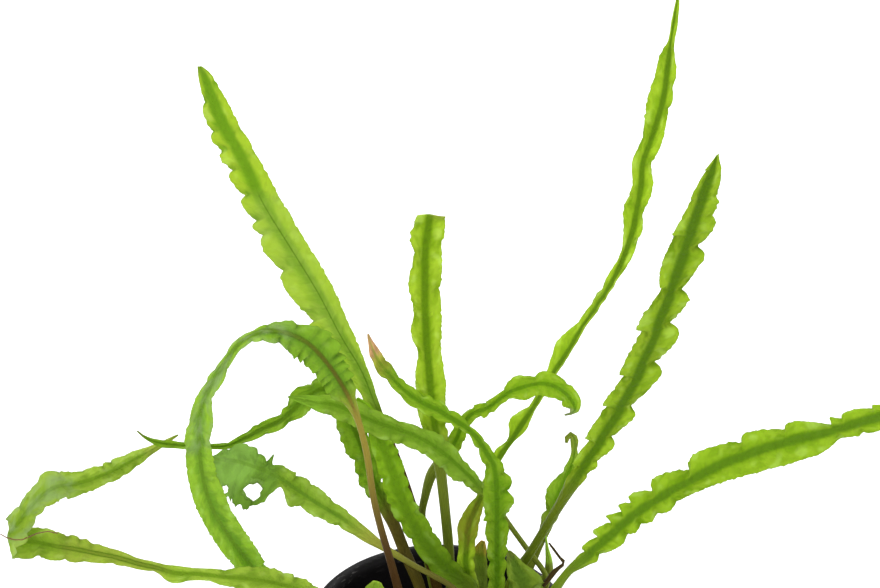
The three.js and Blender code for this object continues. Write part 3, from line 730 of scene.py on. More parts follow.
# %% How high the surface stands
BLADE_HALF_THICKNESS = 0.17
FULL_THICKNESS_WIDTH = 0.8
MARGIN_THINNING = 0.6
RIB_DEPTH = 0.42
RIB_HALF_WIDTH = 1.0
FACE_RIB_SHARE = 0.3
RIDGE_HALF_WIDTH = 0.38
PUCKER = 0.4
PUCKERS_ALONG = 0.55
PUCKERS_ACROSS = 0.8
FULL_FRILL_WIDTH = 2.5


def bend_height(q, width, lobe, along, state, leaf):
    """How far the blade's middle layer is lifted by frills, cup and puckers."""
    outward = abs(q)
    full = min(1, width / FULL_FRILL_WIDTH)
    pucker = noise.noise(Vector((along * PUCKERS_ALONG, q * width * PUCKERS_ACROSS, leaf["seed"])))
    lift = state.blade * state.ruffle * lobe * outward ** 1.7 * full
    lift += state.blade * leaf["cup"] * width * outward ** 1.4
    return lift + state.blade * PUCKER * pucker * min(1, 2 * outward) * full


def sheet_height(q, cover, width, state):
    """How far the face or the back of the blade lies from that layer."""
    rib = math.exp(-((q * width / RIB_HALF_WIDTH) ** 2))
    rib_size = RIB_DEPTH * min(1, state.widest / BLADE_HALF_WIDTH)
    flat = BLADE_HALF_THICKNESS * min(1, state.widest / FULL_THICKNESS_WIDTH)
    flat *= 1 - MARGIN_THINNING * abs(q) ** 3
    flat *= 1 - q ** 8
    if cover < 0:
        return -flat - rib_size * rib
    ridge = state.ridge * math.exp(-((q * width / RIDGE_HALF_WIDTH) ** 2))
    return flat - FACE_RIB_SHARE * rib_size * rib + ridge


# %% The section of a leaf
THINNEST = 0.12
CRINKLE = 0.1
CRINKLES_ALONG = 1.1
CRINKLES_APART = 9
MEAN_LOBE = 0.6
STALK_FLATNESS = 0.85


def section(row, direction, along, leaf):
    """The points round the leaf at one place, each with what the skin carries there."""
    centre, side, face = blade_frame(row, direction, leaf)
    state = state_at(row, along, leaf)
    points = []
    for q, cover in RING:
        edge = 0 if q < 0 else 1
        width = max(THINNEST, row[3 + edge])
        lobe = state.lobes[edge]
        outward = abs(q)
        crest = lobe * 0.5 + 0.5
        spot = Vector((along * CRINKLES_ALONG, edge * CRINKLES_APART, leaf["seed"]))
        crinkle = CRINKLE * noise.noise(spot)
        reach = 1 + state.blade * (leaf["notch"] * (lobe - MEAN_LOBE) + crinkle * outward)
        height = bend_height(q, width, lobe, along, state, leaf)
        height += state.blade * sheet_height(q, cover, width, state)
        height += (1 - state.blade) * STALK_FLATNESS * width * math.sqrt(max(0, 1 - q * q)) * cover
        lean = state.blade * leaf["leans"][edge] * crest * outward ** 2
        point = centre + side * (q * width * reach) + face * height + direction * lean
        points.append((point * MM, q, crest, state.opened, outward * width / state.taper))
    return points


# %% The sections of a leaf, from its root to its tip
ROOT_DEPTH = 4.6
ROOT_RADIUS = 1.1
ROOT_RISE = 3
STALK_ROW = 1.1
MIDRIB_SPOTS = 400
HEADING_REACH = 0.4
OPENED_HALF_WIDTH = 1.35


def full_station(across, up, behind, left, right=None, turn=0):
    return [across, up, behind, left, left if right is None else right, turn]


def leaf_rows(leaf):
    """The stations with two more for the root, and how far along the midrib each one lies."""
    stations = [full_station(*station) for station in leaf["stations"]]
    stalk = min(ROOT_RADIUS, stations[0][3])
    foot = seen_at(Vector((*leaf["root"], MEDIUM_TOP - ROOT_DEPTH)))
    neck = seen_at(Vector((*leaf["root"], MEDIUM_TOP + ROOT_RISE)))
    rows = [spot + [stalk, stalk, stations[0][5]] for spot in (foot, neck)] + stations
    at = [0]
    for before, after in zip(rows, rows[1:]):
        at.append(at[-1] + (place(*after[:3]) - place(*before[:3])).length)
    return rows, at


def ring_places(rows, at, leaf):
    """Distances along the midrib: close together on the blade, further apart on the stalk."""
    whole = at[-1]
    places = []
    along = 0
    while along < whole:
        places.append(along)
        row = smooth_row(rows, at, along)
        along += leaf["row"] if max(row[3], row[4]) > STALK_HALF_WIDTH else STALK_ROW
        if whole - leaf["row"] / 2 < along < whole:
            along = whole
    return places + [whole]


def leaf_rings(leaf):
    """All sections of a leaf, each with its distance along. A leaf that never opens is all stalk."""
    rows, at = leaf_rows(leaf)
    whole = at[-1]
    leaf["whole"] = whole
    steps = [whole * k / MIDRIB_SPOTS for k in range(MIDRIB_SPOTS)]
    midrib = [[step] + smooth_row(rows, at, step)[:2] for step in steps]
    leaf["marks"] = [margin_marks(whole, leaf, edge, midrib) for edge in (0, 1)]
    opened = [d for d, row in zip(at, rows) if max(row[3], row[4]) > OPENED_HALF_WIDTH]
    leaf["stalk_end"] = opened[0] if opened else whole * 2
    rings = []
    for along in ring_places(rows, at, leaf):
        ahead = place(*smooth_row(rows, at, min(whole, along + HEADING_REACH))[:3])
        behind = place(*smooth_row(rows, at, max(0, along - HEADING_REACH))[:3])
        row = smooth_row(rows, at, along)
        rings.append((along, section(row, (ahead - behind).normalized(), along, leaf)))
    return rings


# %% [markdown]
# Wrapped round the sections, the flat grid becomes the leaf's skin. Merging closes its long seam, and
# filling closes both ends. The skin keeps numbers that say where on the leaf each point lies, because
# the finish depends on them.

# %% The skin over those sections
UV_LENGTH = 100


def leaf_skin(name, rings):
    """A grid that is wrapped round the sections and closed at both ends."""
    columns = len(RING)
    bpy.ops.mesh.primitive_grid_add(x_subdivisions=columns - 1, y_subdivisions=len(rings) - 1, size=1)
    skin = bpy.context.object
    skin.name = name
    mesh = skin.data
    points = [point for along, ring in rings for point in ring]
    alongs = [along for along, ring in rings for point in ring]
    carried_values = {
        "across": [point[1] for point in points],
        "crest": [point[2] for point in points],
        "blade": [point[3] for point in points],
        "from_rib": [point[4] for point in points],
        "along": alongs,
        "to_tip": [rings[-1][0] - along for along in alongs],
    }
    for vertex, point in zip(mesh.vertices, points):
        vertex.co = point[0]
    for label, values in carried_values.items():
        mesh.attributes.new(label, "FLOAT", "POINT").data.foreach_set("value", values)
    uv = mesh.uv_layers[0].data
    for loop in mesh.loops:
        spot = loop.vertex_index
        uv[loop.index].uv = (points[spot][1] * 0.5 + 0.5, alongs[spot] / UV_LENGTH)
    start_editing(skin)
    close_up()
    bpy.ops.object.shade_smooth()
    return skin


# %% One leaf from its numbers
PLAIN_LEAF = {
    "ruffle": 0.8,  # how far the frills stand up
    "notch": 0.14,  # how far the notches cut in, as a share of the width
    "cup": 0.0,  # how far the margins rise towards the viewer, as a share of the width
    "frill": 5.6,  # the usual distance between notches
    "notches": ((), ()),  # those seen on the left and on the right margin
    "peaks": (0.5, 0.5),  # where each margin's lobes are highest, as a share of their length
    "leans": (0, 0),  # how far each margin's lobes lean towards the tip
    "tight": (-20, -10, 0),  # from where to where frills are crowded, and how much higher they stand
    "row": 0.45,  # the distance between sections on the blade
    "front_rib": 0.0,  # how far a ridge stands out along the midrib's face
    "folded_over": False,  # whether a turn is the blade's angle in the view instead
}


def grow_leaf(name, root, stations, material, slot="leaf_bright", **traits):
    leaf = {**PLAIN_LEAF, "root": root, "stations": stations, **traits}
    skin = leaf_skin(name + "_skin", leaf_rings(leaf))
    skin.data.materials.clear()
    skin.data.materials.append(material)
    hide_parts(name)
    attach(skin, "root")
    print(name, len(skin.data.vertices), "vertices")
    return skin


# %% [markdown]
# ## What a leaf's surface looks like
# The blade is thin and wet-looking. Light comes through it, so it is bright yellow-green where a
# frill bulges and deeper green in the folds: that light and shade is painted into the colour, as well
# as given by a translucent shader. The midrib is a broad, darker band, and fine side veins run out
# from it at a slant. The stalk is olive or reddish brown. All the leaves share one pattern group, so
# that only the colours and amounts differ from leaf to leaf. Its inputs have names, because each
# material sets them by name.
#
# The pattern reads the numbers that each skin carries: across (-1 to 1 from margin to margin),
# crest (1 on a frill), blade (0 on the stalk), and in millimetres from_rib (from the midrib's middle),
# along (from the root) and to_tip.

# %% What can be set for each leaf
# Starts, ends, turns and reaches are in millimetres along the leaf from its root, but Tip reach is
# measured back from the tip, and Painted crease shade at is the distance beside the midrib's middle. A
# stretch that ends before the root doesn't show.
PATTERN_COLOURS = {
    "Deep": (0.10, 0.30, 0.02),
    "Bright": (0.36, 0.62, 0.05),
    "Midrib": (0.08, 0.22, 0.01),
    "Stalk": (0.16, 0.20, 0.03),
    "Stalk end": (0.16, 0.20, 0.03),
    "Tip": (0.20, 0.15, 0.05),
    "Tip end": (0.20, 0.15, 0.05),
    "Zone": (0.17, 0.11, 0.015),
}
PATTERN_AMOUNTS = {
    "Stalk turn": 47.0,
    "Stalk reach": -40.0,
    "Tip reach": -10.0,
    "Midrib width": 0.9,
    # how much brighter the frills' crests are painted, as if lit
    "Patches": 0.6,
    "Decay": 0.0,
    # how far the leaf's foot is painted darker for the crown's shade, or lighter above 1
    "Foot tone": 1.0,
    "Zone share": 0.6,
    "Zone start": -20.0,
    "Zone end": -10.0,
    # where a painted sheen lies along the leaf
    "Bloom start": -20.0,
    "Bloom end": -10.0,
    # the painted shade in a crease beside the midrib, and how far from the midrib it lies
    "Crease": 0.0,
    "Crease at": 0.0,
}
PATTERN_OUTPUTS = {"Color": "NodeSocketColor", "Roughness": "NodeSocketFloat", "Height": "NodeSocketFloat"}


def new_group(name):
    """An empty group with those sockets, and what it is given and has to make."""
    group = bpy.data.node_groups.new(name, "ShaderNodeTree")
    for label, colour in PATTERN_COLOURS.items():
        socket = group.interface.new_socket(label, in_out="INPUT", socket_type="NodeSocketColor")
        socket.default_value = (*colour, 1)
    for label, amount in PATTERN_AMOUNTS.items():
        socket = group.interface.new_socket(label, in_out="INPUT", socket_type="NodeSocketFloat")
        socket.default_value = amount
    for label, kind in PATTERN_OUTPUTS.items():
        group.interface.new_socket(label, in_out="OUTPUT", socket_type=kind)
    return group, group.nodes.new("NodeGroupInput").outputs, group.nodes.new("NodeGroupOutput").inputs


# %% What the pattern reads from the skin
VEIN_SLANT = 2.6
QUILT_LENGTH = 2.6
QUILTS_ACROSS = 1.9


def read_skin(pen):
    """Where a point lies on the leaf, and the noises that several parts of the pattern share."""
    place_on = pen.spot()
    across = pen.carried("across")
    along = pen.carried("along")
    off = pen.number("ABSOLUTE", across)
    broad = pen.clouds(110.0, 2.0, place_on)
    slanted = pen.line(off, -VEIN_SLANT, along)
    cells = pen.join_xyz(pen.number("DIVIDE", slanted, QUILT_LENGTH), pen.times(across, QUILTS_ACROSS))
    return SimpleNamespace(
        across=across,
        along=along,
        off=off,
        outer=pen.ramp(off, 0.15, 0.7),
        crest=pen.carried("crest"),
        blade=pen.carried("blade"),
        from_rib=pen.carried("from_rib"),
        to_tip=pen.carried("to_tip"),
        broad=broad,
        fine=pen.clouds(900.0, 4.0, place_on),
        mottled=pen.line(broad, 1.2, -0.6),
        slanted=slanted,
        cells=cells,
        quilt=pen.ramp(pen.clouds(1.0, 1.0, cells), 0.38, 0.62),
    )


def stretch(pen, along, start, end):
    """1 where the distance along lies between start and end, and 0 elsewhere."""
    past_start = pen.ramp(pen.minus(along, start), -2.5, 2.5)
    before_end = pen.ramp(pen.minus(end, along), -2.5, 2.5)
    return pen.times(past_start, before_end)


# %% [markdown]
# The blade's green is a patchwork: a slanted quilt between the side veins, frills painted brighter as
# lit crests, and some small pale spots that are painted sheen. Veins, the midrib's band and a thin dark
# margin are laid over it. Low down a painted shade darkens it, for the shade of the crown; on one leaf
# it is painted lighter there instead.

# %% The green of the blade
VEIN_SPACING = 2.1
VEIN_SHARE = 0.12
MARGIN_GREEN = (0.14, 0.17, 0.015, 1)
MARGIN_SHARE = 0.55
# the small pale spots are painted sheen
SHEEN_SPOT_SHARE = 0.7
SHEEN_SPOTS_AT = 7.3
RIB_SHARE = 0.92
# where the leaf's foot is painted darker, as shade of the crown
PAINTED_FOOT_SHADE_RANGE = (20.0, 70.0)


def blade_green(pen, given, skin):
    """The blade's colour, and how much of the midrib and of a vein each place has."""
    # painted light and shade: frill crests painted brighter, the folds between them deeper
    lit_crest_mask = pen.times(pen.ramp(skin.crest, 0.3, 1.0), skin.outer)
    patchwork_and_crest_light = pen.times(lit_crest_mask, given["Patches"])
    patchwork_and_crest_light = pen.line(skin.quilt, pen.line(skin.outer, 0.5, 0.25), patchwork_and_crest_light)
    patchwork_and_crest_light = pen.add("Clamp", {"Value": pen.plus(patchwork_and_crest_light, skin.mottled)}).outputs[0]
    colour = pen.blend(patchwork_and_crest_light, given["Deep"], given["Bright"])

    # painted sheen: small pale spots for the gloss of a wet blade
    sheen_spot_cells = pen.join_xyz(pen.number("DIVIDE", skin.along, QUILT_LENGTH * 1.1),
                              pen.times(skin.across, 1.7), SHEEN_SPOTS_AT)
    sheen_spot = pen.ramp(pen.clouds(1.0, 0.0, sheen_spot_cells), 0.56, 0.74)
    sheen_spot_share = pen.times(pen.times(sheen_spot, skin.outer), SHEEN_SPOT_SHARE)
    colour = pen.blend(sheen_spot_share, colour, pen.shaded(1.3, given["Bright"], 0.9))

    stripe = pen.number("SINE", pen.times(skin.slanted, 2 * math.pi / VEIN_SPACING))
    veins = pen.times(pen.ramp(stripe, 0.5, 1.0), pen.minus(1.0, skin.outer))
    colour = pen.blend(pen.times(veins, VEIN_SHARE), colour, given["Midrib"])

    band = pen.minus(given["Midrib width"], pen.times(skin.mottled, 0.08))
    rib = pen.minus(1.0, pen.ramp(pen.number("DIVIDE", skin.from_rib, band), 0.5, 1.4))
    colour = pen.blend(pen.times(rib, RIB_SHARE), colour, given["Midrib"])

    margin = pen.times(pen.ramp(skin.off, 0.95, 0.995), MARGIN_SHARE)
    colour = pen.blend(margin, colour, MARGIN_GREEN)
    # painted shade low down, where the crown shades the leaf; a setting above 1 paints it lighter instead
    foot = pen.ramp(skin.along, *PAINTED_FOOT_SHADE_RANGE, given["Foot tone"], 1.0)
    return pen.shaded(pen.times(foot, pen.line(skin.fine, 0.4, 0.8)), colour), rib, veins


# %% [markdown]
# Old leaves are marked. Decay browns some spots. A zone of another colour can lie on a stretch of
# the blade, with a dark line of painted shade in the crease beside the midrib, and a pale painted sheen
# on another stretch.

# %% Decay, a zone with painted crease shade, and painted sheen
SPOILED_BROWN = (0.20, 0.13, 0.03, 1)
# the pale grey-green of a painted sheen
PAINTED_SHEEN_GREEN = (0.31, 0.43, 0.17, 1)
PAINTED_SHEEN_SHARE = 0.7
PAINTED_CREASE_SHADE_TONE = 0.5


def add_damage(pen, given, skin, colour):
    spoiled = pen.ramp(pen.plus(skin.broad, given["Decay"]), 0.95, 1.15)
    colour = pen.blend(spoiled, colour, SPOILED_BROWN)

    zone = stretch(pen, skin.along, given["Zone start"], given["Zone end"])
    zone_share = pen.times(given["Zone share"], pen.line(skin.quilt, 0.5, 0.75))
    colour = pen.blend(pen.times(zone, zone_share), colour, given["Zone"])

    # painted shade: a dark line where the blade creases beside the midrib
    beside = pen.number("ABSOLUTE", pen.minus(skin.from_rib, given["Crease at"]))
    crease = pen.times(pen.minus(1.0, pen.ramp(beside, 0.03, 0.20)), zone)
    crease = pen.times(crease, given["Crease"])
    colour = pen.blend(crease, colour, pen.shaded(PAINTED_CREASE_SHADE_TONE, given["Midrib"]))

    # painted sheen: a pale grey-green stretch that stands in for light glancing off the blade
    painted_sheen_stretch = stretch(pen, skin.along, given["Bloom start"], given["Bloom end"])
    painted_sheen_patches = pen.ramp(pen.clouds(0.7, 2.0, skin.cells), 0.35, 0.7, 0.0, PAINTED_SHEEN_SHARE)
    return pen.blend(pen.times(painted_sheen_stretch, painted_sheen_patches), colour, PAINTED_SHEEN_GREEN)


# %% [markdown]
# The stalk has long streaks and grows lighter away from the root. Its colour turns into the stalk
# end's at the stalk turn, and it runs on along the midrib as far as the stalk reach. Tips differ
# too: the last millimetres take the tip's colours, with a ragged edge.

# %% The stalk and the tip
STALK_LIGHTENS = (32.0, 80.0)
STALK_LIGHTER = 0.5
TURN_FADE = 15.0
SHADE_ON_BLADE = -0.45
VERY_END = 0.55


def add_stalk(pen, given, skin, rib, colour):
    near = pen.minus(given["Stalk reach"], skin.along)
    brown_rib = pen.times(pen.ramp(near, -16.0, 8.0), rib)
    share = pen.number("MAXIMUM", brown_rib, pen.minus(1.0, skin.blade))
    streaks = pen.join_xyz(pen.times(skin.across, 3.0), pen.times(skin.along, 0.06))
    streak = pen.line(pen.clouds(2.5, 3.0, streaks), 0.9, 0.5)
    tone = pen.plus(streak, pen.ramp(skin.along, *STALK_LIGHTENS, 0.0, STALK_LIGHTER))
    tone = pen.times(tone, pen.line(skin.blade, SHADE_ON_BLADE, 1.0))
    past_turn = pen.ramp(pen.minus(skin.along, given["Stalk turn"]), -TURN_FADE, TURN_FADE)
    stalk = pen.blend(past_turn, given["Stalk"], given["Stalk end"])
    return pen.blend(share, colour, pen.shaded(tone, stalk))


def add_tip(pen, given, skin, rib, colour):
    past = pen.minus(given["Tip reach"], skin.to_tip)
    ragged = pen.line(skin.fine, 3.0, pen.line(skin.mottled, 8.0, past))
    past_middle = pen.minus(ragged, pen.times(given["Tip reach"], VERY_END))
    tip = pen.blend(pen.ramp(past_middle, -1.0, 3.0), given["Tip"], given["Tip end"])
    tone = pen.plus(pen.line(skin.quilt, 0.3, 0.82), skin.mottled)
    share = pen.times(pen.ramp(ragged, -0.5, 3.5), pen.line(rib, -0.45, 1.0))
    return pen.blend(share, colour, pen.shaded(tone, tip))


# %% The leaf pattern, shared by every leaf
def build_leaf_pattern():
    group, given, made = new_group("leaf_pattern")
    pen = Pen(group)
    skin = read_skin(pen)
    colour, rib, veins = blade_green(pen, given, skin)
    colour = add_damage(pen, given, skin, colour)
    colour = add_stalk(pen, given, skin, rib, colour)
    pen.give(made["Color"], add_tip(pen, given, skin, rib, colour))
    pen.give(made["Roughness"], pen.line(skin.fine, 0.25, 0.30))
    height = pen.line(veins, -0.35, pen.times(skin.quilt, 0.9))
    pen.give(made["Height"], pen.line(skin.fine, 0.35, height))
    return group


leaf_pattern = build_leaf_pattern()
print("leaf pattern:", len(leaf_pattern.nodes), "nodes")

# %% [markdown]
# Each leaf's material sets its own colours and amounts in that pattern. The light that comes through
# a thin blade is a translucent shader, mixed in where the skin is blade, and not on the midrib's
# band or on a thick tip.

# %% A material from that pattern
OLIVE = (0.13, 0.17, 0.014)
RED_BROWN = (0.075, 0.045, 0.007)
LIT_GAIN = 1.2
LEAF_SPECULAR = 0.06


def lit_through(colour):
    """The colour of a thin leaf with light behind it."""
    return (*[min(1.0, LIT_GAIN * part) for part in colour], 1)


def leaf_material(name, deep, bright, midrib, stalk, midrib_width=0.9, thick_tip=0.0, sheer=0.42, **looks):
    """sheer is the share of light that comes through, and none does on the last thick_tip millimetres."""
    material, tree, shader = new_material(name)
    pen = Pen(tree)
    pattern = pen.add("Group", node_tree=leaf_pattern)
    looks = {"deep": deep, "bright": bright, "midrib": midrib, "stalk": stalk, "stalk_end": stalk,
             "tip_end": looks.get("tip", PATTERN_COLOURS["Tip"]), "midrib_width": midrib_width, **looks}
    for key, value in looks.items():
        socket = pattern.inputs[key.capitalize().replace("_", " ")]
        socket.default_value = (*value, 1) if isinstance(value, tuple) else value
    normal = pen.bump(pattern.outputs["Height"], 0.5, 0.0003)
    pen.give(shader.inputs["Base Color"], pattern.outputs["Color"])
    pen.give(shader.inputs["Roughness"], pattern.outputs["Roughness"])
    pen.give(shader.inputs["Normal"], normal)
    shader.inputs["Specular IOR Level"].default_value = LEAF_SPECULAR
    # the light through the blade is brighter on the crests too, matching the painted light
    lit = pen.blend(pen.ramp(pen.carried("crest"), 0.2, 1.0), lit_through(deep), lit_through(bright))
    off_rib = pen.number("DIVIDE", pen.carried("from_rib"), midrib_width)
    lit = pen.blend(pen.ramp(off_rib, 0.5, 1.4), lit_through(midrib), lit)
    through = pen.add("BsdfTranslucent", {"Color": lit, "Normal": normal})
    thin = pen.times(pen.carried("blade"), sheer)
    thin = pen.times(thin, pen.ramp(pen.carried("to_tip"), 0.6 * thick_tip, thick_tip + 0.1))
    both = pen.add("MixShader", {0: thin, 1: shader.outputs[0], 2: through.outputs[0]})
    pen.give(tree.nodes["Material Output"].inputs["Surface"], both.outputs[0])
    return material


# %% The materials of the sound leaves
pale_leaf = leaf_material(
    "leaf_pale_green", (0.18, 0.34, 0.016), (0.38, 0.52, 0.035), (0.17, 0.33, 0.012), RED_BROWN,
    tip=(0.20, 0.30, 0.03), tip_reach=2.0, midrib_width=1.1, patches=1.0,
    zone_start=62, zone_end=112, zone=(0.38, 0.52, 0.08), zone_share=0.45, crease=0.9,
)
bright_leaf = leaf_material(
    "leaf_bright_green", (0.22, 0.37, 0.011), (0.38, 0.54, 0.03), (0.12, 0.23, 0.006), OLIVE,
    midrib_width=0.6, tip_reach=1.0, zone_start=30, zone_end=41,
)
short_leaf_green = leaf_material(
    "leaf_short_green", (0.17, 0.32, 0.012), (0.28, 0.44, 0.03), (0.14, 0.28, 0.008), OLIVE,
    midrib_width=0.5, tip=(0.32, 0.38, 0.05), tip_end=(0.32, 0.33, 0.05), tip_reach=8.0,
)
sunlit_leaf = leaf_material(
    "leaf_sunlit_green", (0.18, 0.35, 0.007), (0.31, 0.47, 0.022), (0.125, 0.26, 0.005), OLIVE,
    midrib_width=0.4, tip=(0.22, 0.24, 0.12), tip_reach=2.0,
)
deep_leaf = leaf_material(
    "leaf_deep_green", (0.19, 0.37, 0.008), (0.27, 0.48, 0.015), (0.17, 0.34, 0.006), OLIVE,
    sheer=0.3, foot_tone=0.36,
)
middle_leaf = leaf_material(
    "leaf_middle_green", (0.17, 0.32, 0.016), (0.28, 0.45, 0.04), (0.14, 0.28, 0.010), OLIVE,
    midrib_width=0.4, tip=(0.22, 0.40, 0.03), tip_reach=6.0,
)
brown_stalk_leaf = leaf_material(
    "leaf_brown_stalk", (0.12, 0.25, 0.010), (0.24, 0.40, 0.02), (0.10, 0.20, 0.005), (0.085, 0.068, 0.009),
    midrib_width=0.5, tip_reach=0.5,
)
cut_leaf_green = leaf_material(
    "leaf_cut_green", (0.23, 0.37, 0.010), (0.39, 0.54, 0.035), (0.13, 0.25, 0.004), OLIVE,
    midrib_width=0.8, tip_reach=-0.4, foot_tone=0.7,
)
strong_rib_leaf = leaf_material(
    "leaf_strong_rib", (0.16, 0.28, 0.005), (0.33, 0.48, 0.025), (0.098, 0.205, 0.004), (0.09, 0.13, 0.006),
    midrib_width=1.0,
)
low_leaf_green = leaf_material(
    "leaf_low_green", (0.17, 0.31, 0.006), (0.31, 0.47, 0.022), (0.115, 0.235, 0.008), (0.12, 0.19, 0.01),
    midrib_width=0.95,
)

# %% The materials of the marked and dying leaves
pink_tip_leaf = leaf_material(
    "leaf_with_pink_tip", (0.16, 0.32, 0.008), (0.27, 0.44, 0.02), (0.12, 0.26, 0.005), OLIVE,
    midrib_width=0.5, foot_tone=0.6,
    tip=(0.36, 0.38, 0.04), tip_end=(0.36, 0.21, 0.09), tip_reach=12.0, thick_tip=8.0,
)
looped_leaf_green = leaf_material(
    "leaf_looped_green", (0.13, 0.27, 0.02), (0.31, 0.50, 0.04), (0.15, 0.28, 0.018), (0.065, 0.032, 0.009),
    midrib_width=0.4, patches=0.8, stalk_end=(0.175, 0.14, 0.02), stalk_reach=92,
    zone_start=76, zone_end=104, zone=(0.11, 0.23, 0.015), zone_share=0.4, crease=0.8, crease_at=0.4,
    bloom_start=98, bloom_end=134,
)
folded_leaf_green = leaf_material(
    "leaf_folded_green", (0.20, 0.33, 0.022), (0.34, 0.48, 0.05), (0.16, 0.28, 0.012), OLIVE,
    midrib_width=0.4, tip=(0.30, 0.36, 0.05), tip_reach=7.0,
    zone_start=70, zone_end=92, zone=(0.30, 0.25, 0.05), zone_share=0.3, crease=0.8, crease_at=0.35,
    bloom_start=101, bloom_end=124,
)
dull_leaf = leaf_material(
    "leaf_dull_green", (0.18, 0.32, 0.018), (0.30, 0.45, 0.05), (0.14, 0.27, 0.016), (0.085, 0.08, 0.012),
    midrib_width=0.4, stalk_end=(0.36, 0.38, 0.05), stalk_turn=42.0, foot_tone=1.4, sheer=0.35, decay=0.12,
    tip=(0.14, 0.27, 0.030), tip_end=(0.19, 0.34, 0.06), tip_reach=15.0, bloom_start=84, bloom_end=90,
)
yellow_leaf = leaf_material(
    "leaf_yellow", (0.21, 0.33, 0.03), (0.32, 0.42, 0.05), (0.21, 0.32, 0.03), (0.19, 0.28, 0.03),
    tip=(0.50, 0.38, 0.05), tip_end=(0.44, 0.25, 0.05), tip_reach=4.6,
)
sheath_green = leaf_material(
    "sheath_green", (0.09, 0.18, 0.010), (0.20, 0.31, 0.025), (0.10, 0.19, 0.012), OLIVE,
    sheer=0.25, decay=0.12, tip_reach=0.5,
)
dead_brown = leaf_material(
    "dead_brown", (0.045, 0.03, 0.006), (0.09, 0.06, 0.012), (0.04, 0.025, 0.005), (0.045, 0.03, 0.006),
    sheer=0.05,
)
print(len(bpy.data.materials), "materials")

# %% [markdown]
# ## The tall leaf on the left
# A long blade that leans back and left, the palest of the plant. Its margins are only gently wavy,
# with longer frills than on the others, and its stalk is brown.

# %% The tall leaf on the left
leaf_tall_left = [
    [-1.2, -56.2, 6, 1.1],
    [-4, -47.2, 7, 1],
    [-8, -34.8, 8.5, 0.9],
    [-12.4, -23.6, 10, 1.4, 0.9],
    [-15.8, -15.2, 12, 3, 1.5, -10],
    [-19.6, -8.8, 14, 4.1, 2.8, -15],
    [-24.6, 0.6, 17, 5.1, 3.5, -15],
    [-30, 9.4, 20, 4.9, 3.7, -15],
    [-35.4, 18.2, 23, 3.8, 3.9, -15],
    [-39.4, 26.8, 26, 3.8, 3.3, -15],
    [-43.8, 34.8, 29, 3, 3, -10],
    [-46.6, 42, 31, 1.4, 2, -5],
    [-47.5, 44.3, 31.6, 0.9, 1.1],
    [-48.1, 45.5, 32, 0.35],
]
tall_left_notches = from_pixels([
    [310, 324], [281, 273], [259, 239], [257, 222], [242, 199], [234, 171], [222, 152], [216, 132],
    [207, 102],
])
tall_right_notches = from_pixels([
    [366, 368, 0.4], [350, 318, 0.4], [301, 222, 0.3], [281, 198, 0.4], [257, 152, 0.6],
    [241, 130, 0.5], [214, 82, 0.6],
])
grow_leaf(
    "leaf_tall_left", (0.5, 5), leaf_tall_left,
    material=pale_leaf, ruffle=0.7, notch=0.13, cup=0.08, frill=5.8,
    notches=(tall_left_notches, tall_right_notches), peaks=(0.68, 0.5), leans=(0.4, 0),
    seed=1,
)

# %% [markdown]
# ## The broad leaf in front of the pot's middle
# A short, broad, deep green blade that starts low in the crown and leans left. It is mostly seen
# between the two brown stalks and the crossing leaf.

# %% The broad leaf in front of the pot's middle
leaf_front_broad = [
    [6, -59.2, -2.5, 1.8],
    [3.6, -56.8, -2.5, 2.1],
    [0, -53.6, -2, 2.6],
    [-3.6, -49.2, -1.5, 2.2, 3],
    [-5.8, -45.2, -1, 2.5, 2.9],
    [-7.6, -41.2, -0.5, 2.9, 2.3],
    [-9.6, -35.2, 0, 2.8, 2.5],
    [-11.4, -30.2, 0, 2.5, 2.4],
    [-13, -26.2, 0, 1.9, 2],
    [-14.8, -22.8, 0.5, 1.4, 1.1],
    [-16.6, -20.8, 1, 0.3],
]
grow_leaf(
    "leaf_front_broad", (8, -2), leaf_front_broad,
    material=deep_leaf, ruffle=0.6, notch=0.14, frill=4.4, seed=2, slot="leaf_deep",
)

# %% [markdown]
# ## The tall wavy leaf on the right
# It sways up to the top of the picture. Low down it is nearly edge on, and higher up its blade
# faces the viewer and ends in a long thin tip.

# %% The tall wavy leaf on the right
leaf_right_wavy = [
    [6.2, -58.8, 0, 1.7],
    [5.2, -54.2, 0.5, 1.8],
    [5.4, -49.2, 1.5, 1.8, 1.9],
    [5.8, -46.2, 2.5, 2.3, 2.1],
    [7, -43.2, 4, 1.7, 1.5],
    [8.6, -39.6, 6, 1, 1, -20],
    [10.2, -35.6, 7.5, 0.9, 0.9, -30],
    [12.4, -32, 9, 1.5, 0.6, -20],
    [14.2, -29.4, 10.2, 1, 0.6, -10],
    [16.2, -26.4, 11.4, 2.5, 1.4, -10],
    [18.6, -22.8, 13, 1.4, 0.7, -20],
    [20.8, -19.2, 14.6, 1.2, 0.9, -30],
    [23, -15.4, 16, 1.8, 0.8, -40],
    [25.8, -11.2, 17, 3.2, 0.8, -40],
    [28.4, -6.8, 18, 1.8, 0.9, -50],
    [31, -3, 19, 2.1, 1, -50],
    [32.4, -0.8, 19.5, 2.6, 1, -40],
    [34.6, 2.6, 20.5, 1.7, 0.9, -40],
    [36.6, 7, 21.5, 1, 1.7, -20],
    [38.6, 12.8, 23, 1.9, 1.8],
    [39.4, 17.2, 24, 2.9, 1.8, 10],
    [40.2, 21.8, 25, 1.9, 2.3, 10],
    [40.6, 26.2, 26, 2.3, 2, 10],
    [42, 30.4, 27, 2.1, 2.2, 10],
    [43.8, 35.8, 28, 3, 1.9, 10],
    [44.8, 39.8, 28.5, 3.2, 1.8, 10],
    [45.4, 44.4, 29, 2.4, 1.8, 10],
    [45.8, 47.8, 29, 2, 1.3],
    [46.2, 50.8, 29, 0.6, 0.8],
    [46.8, 54.8, 29, 0.5, 0.9],
    [47.8, 60.8, 29, 0.2],
]
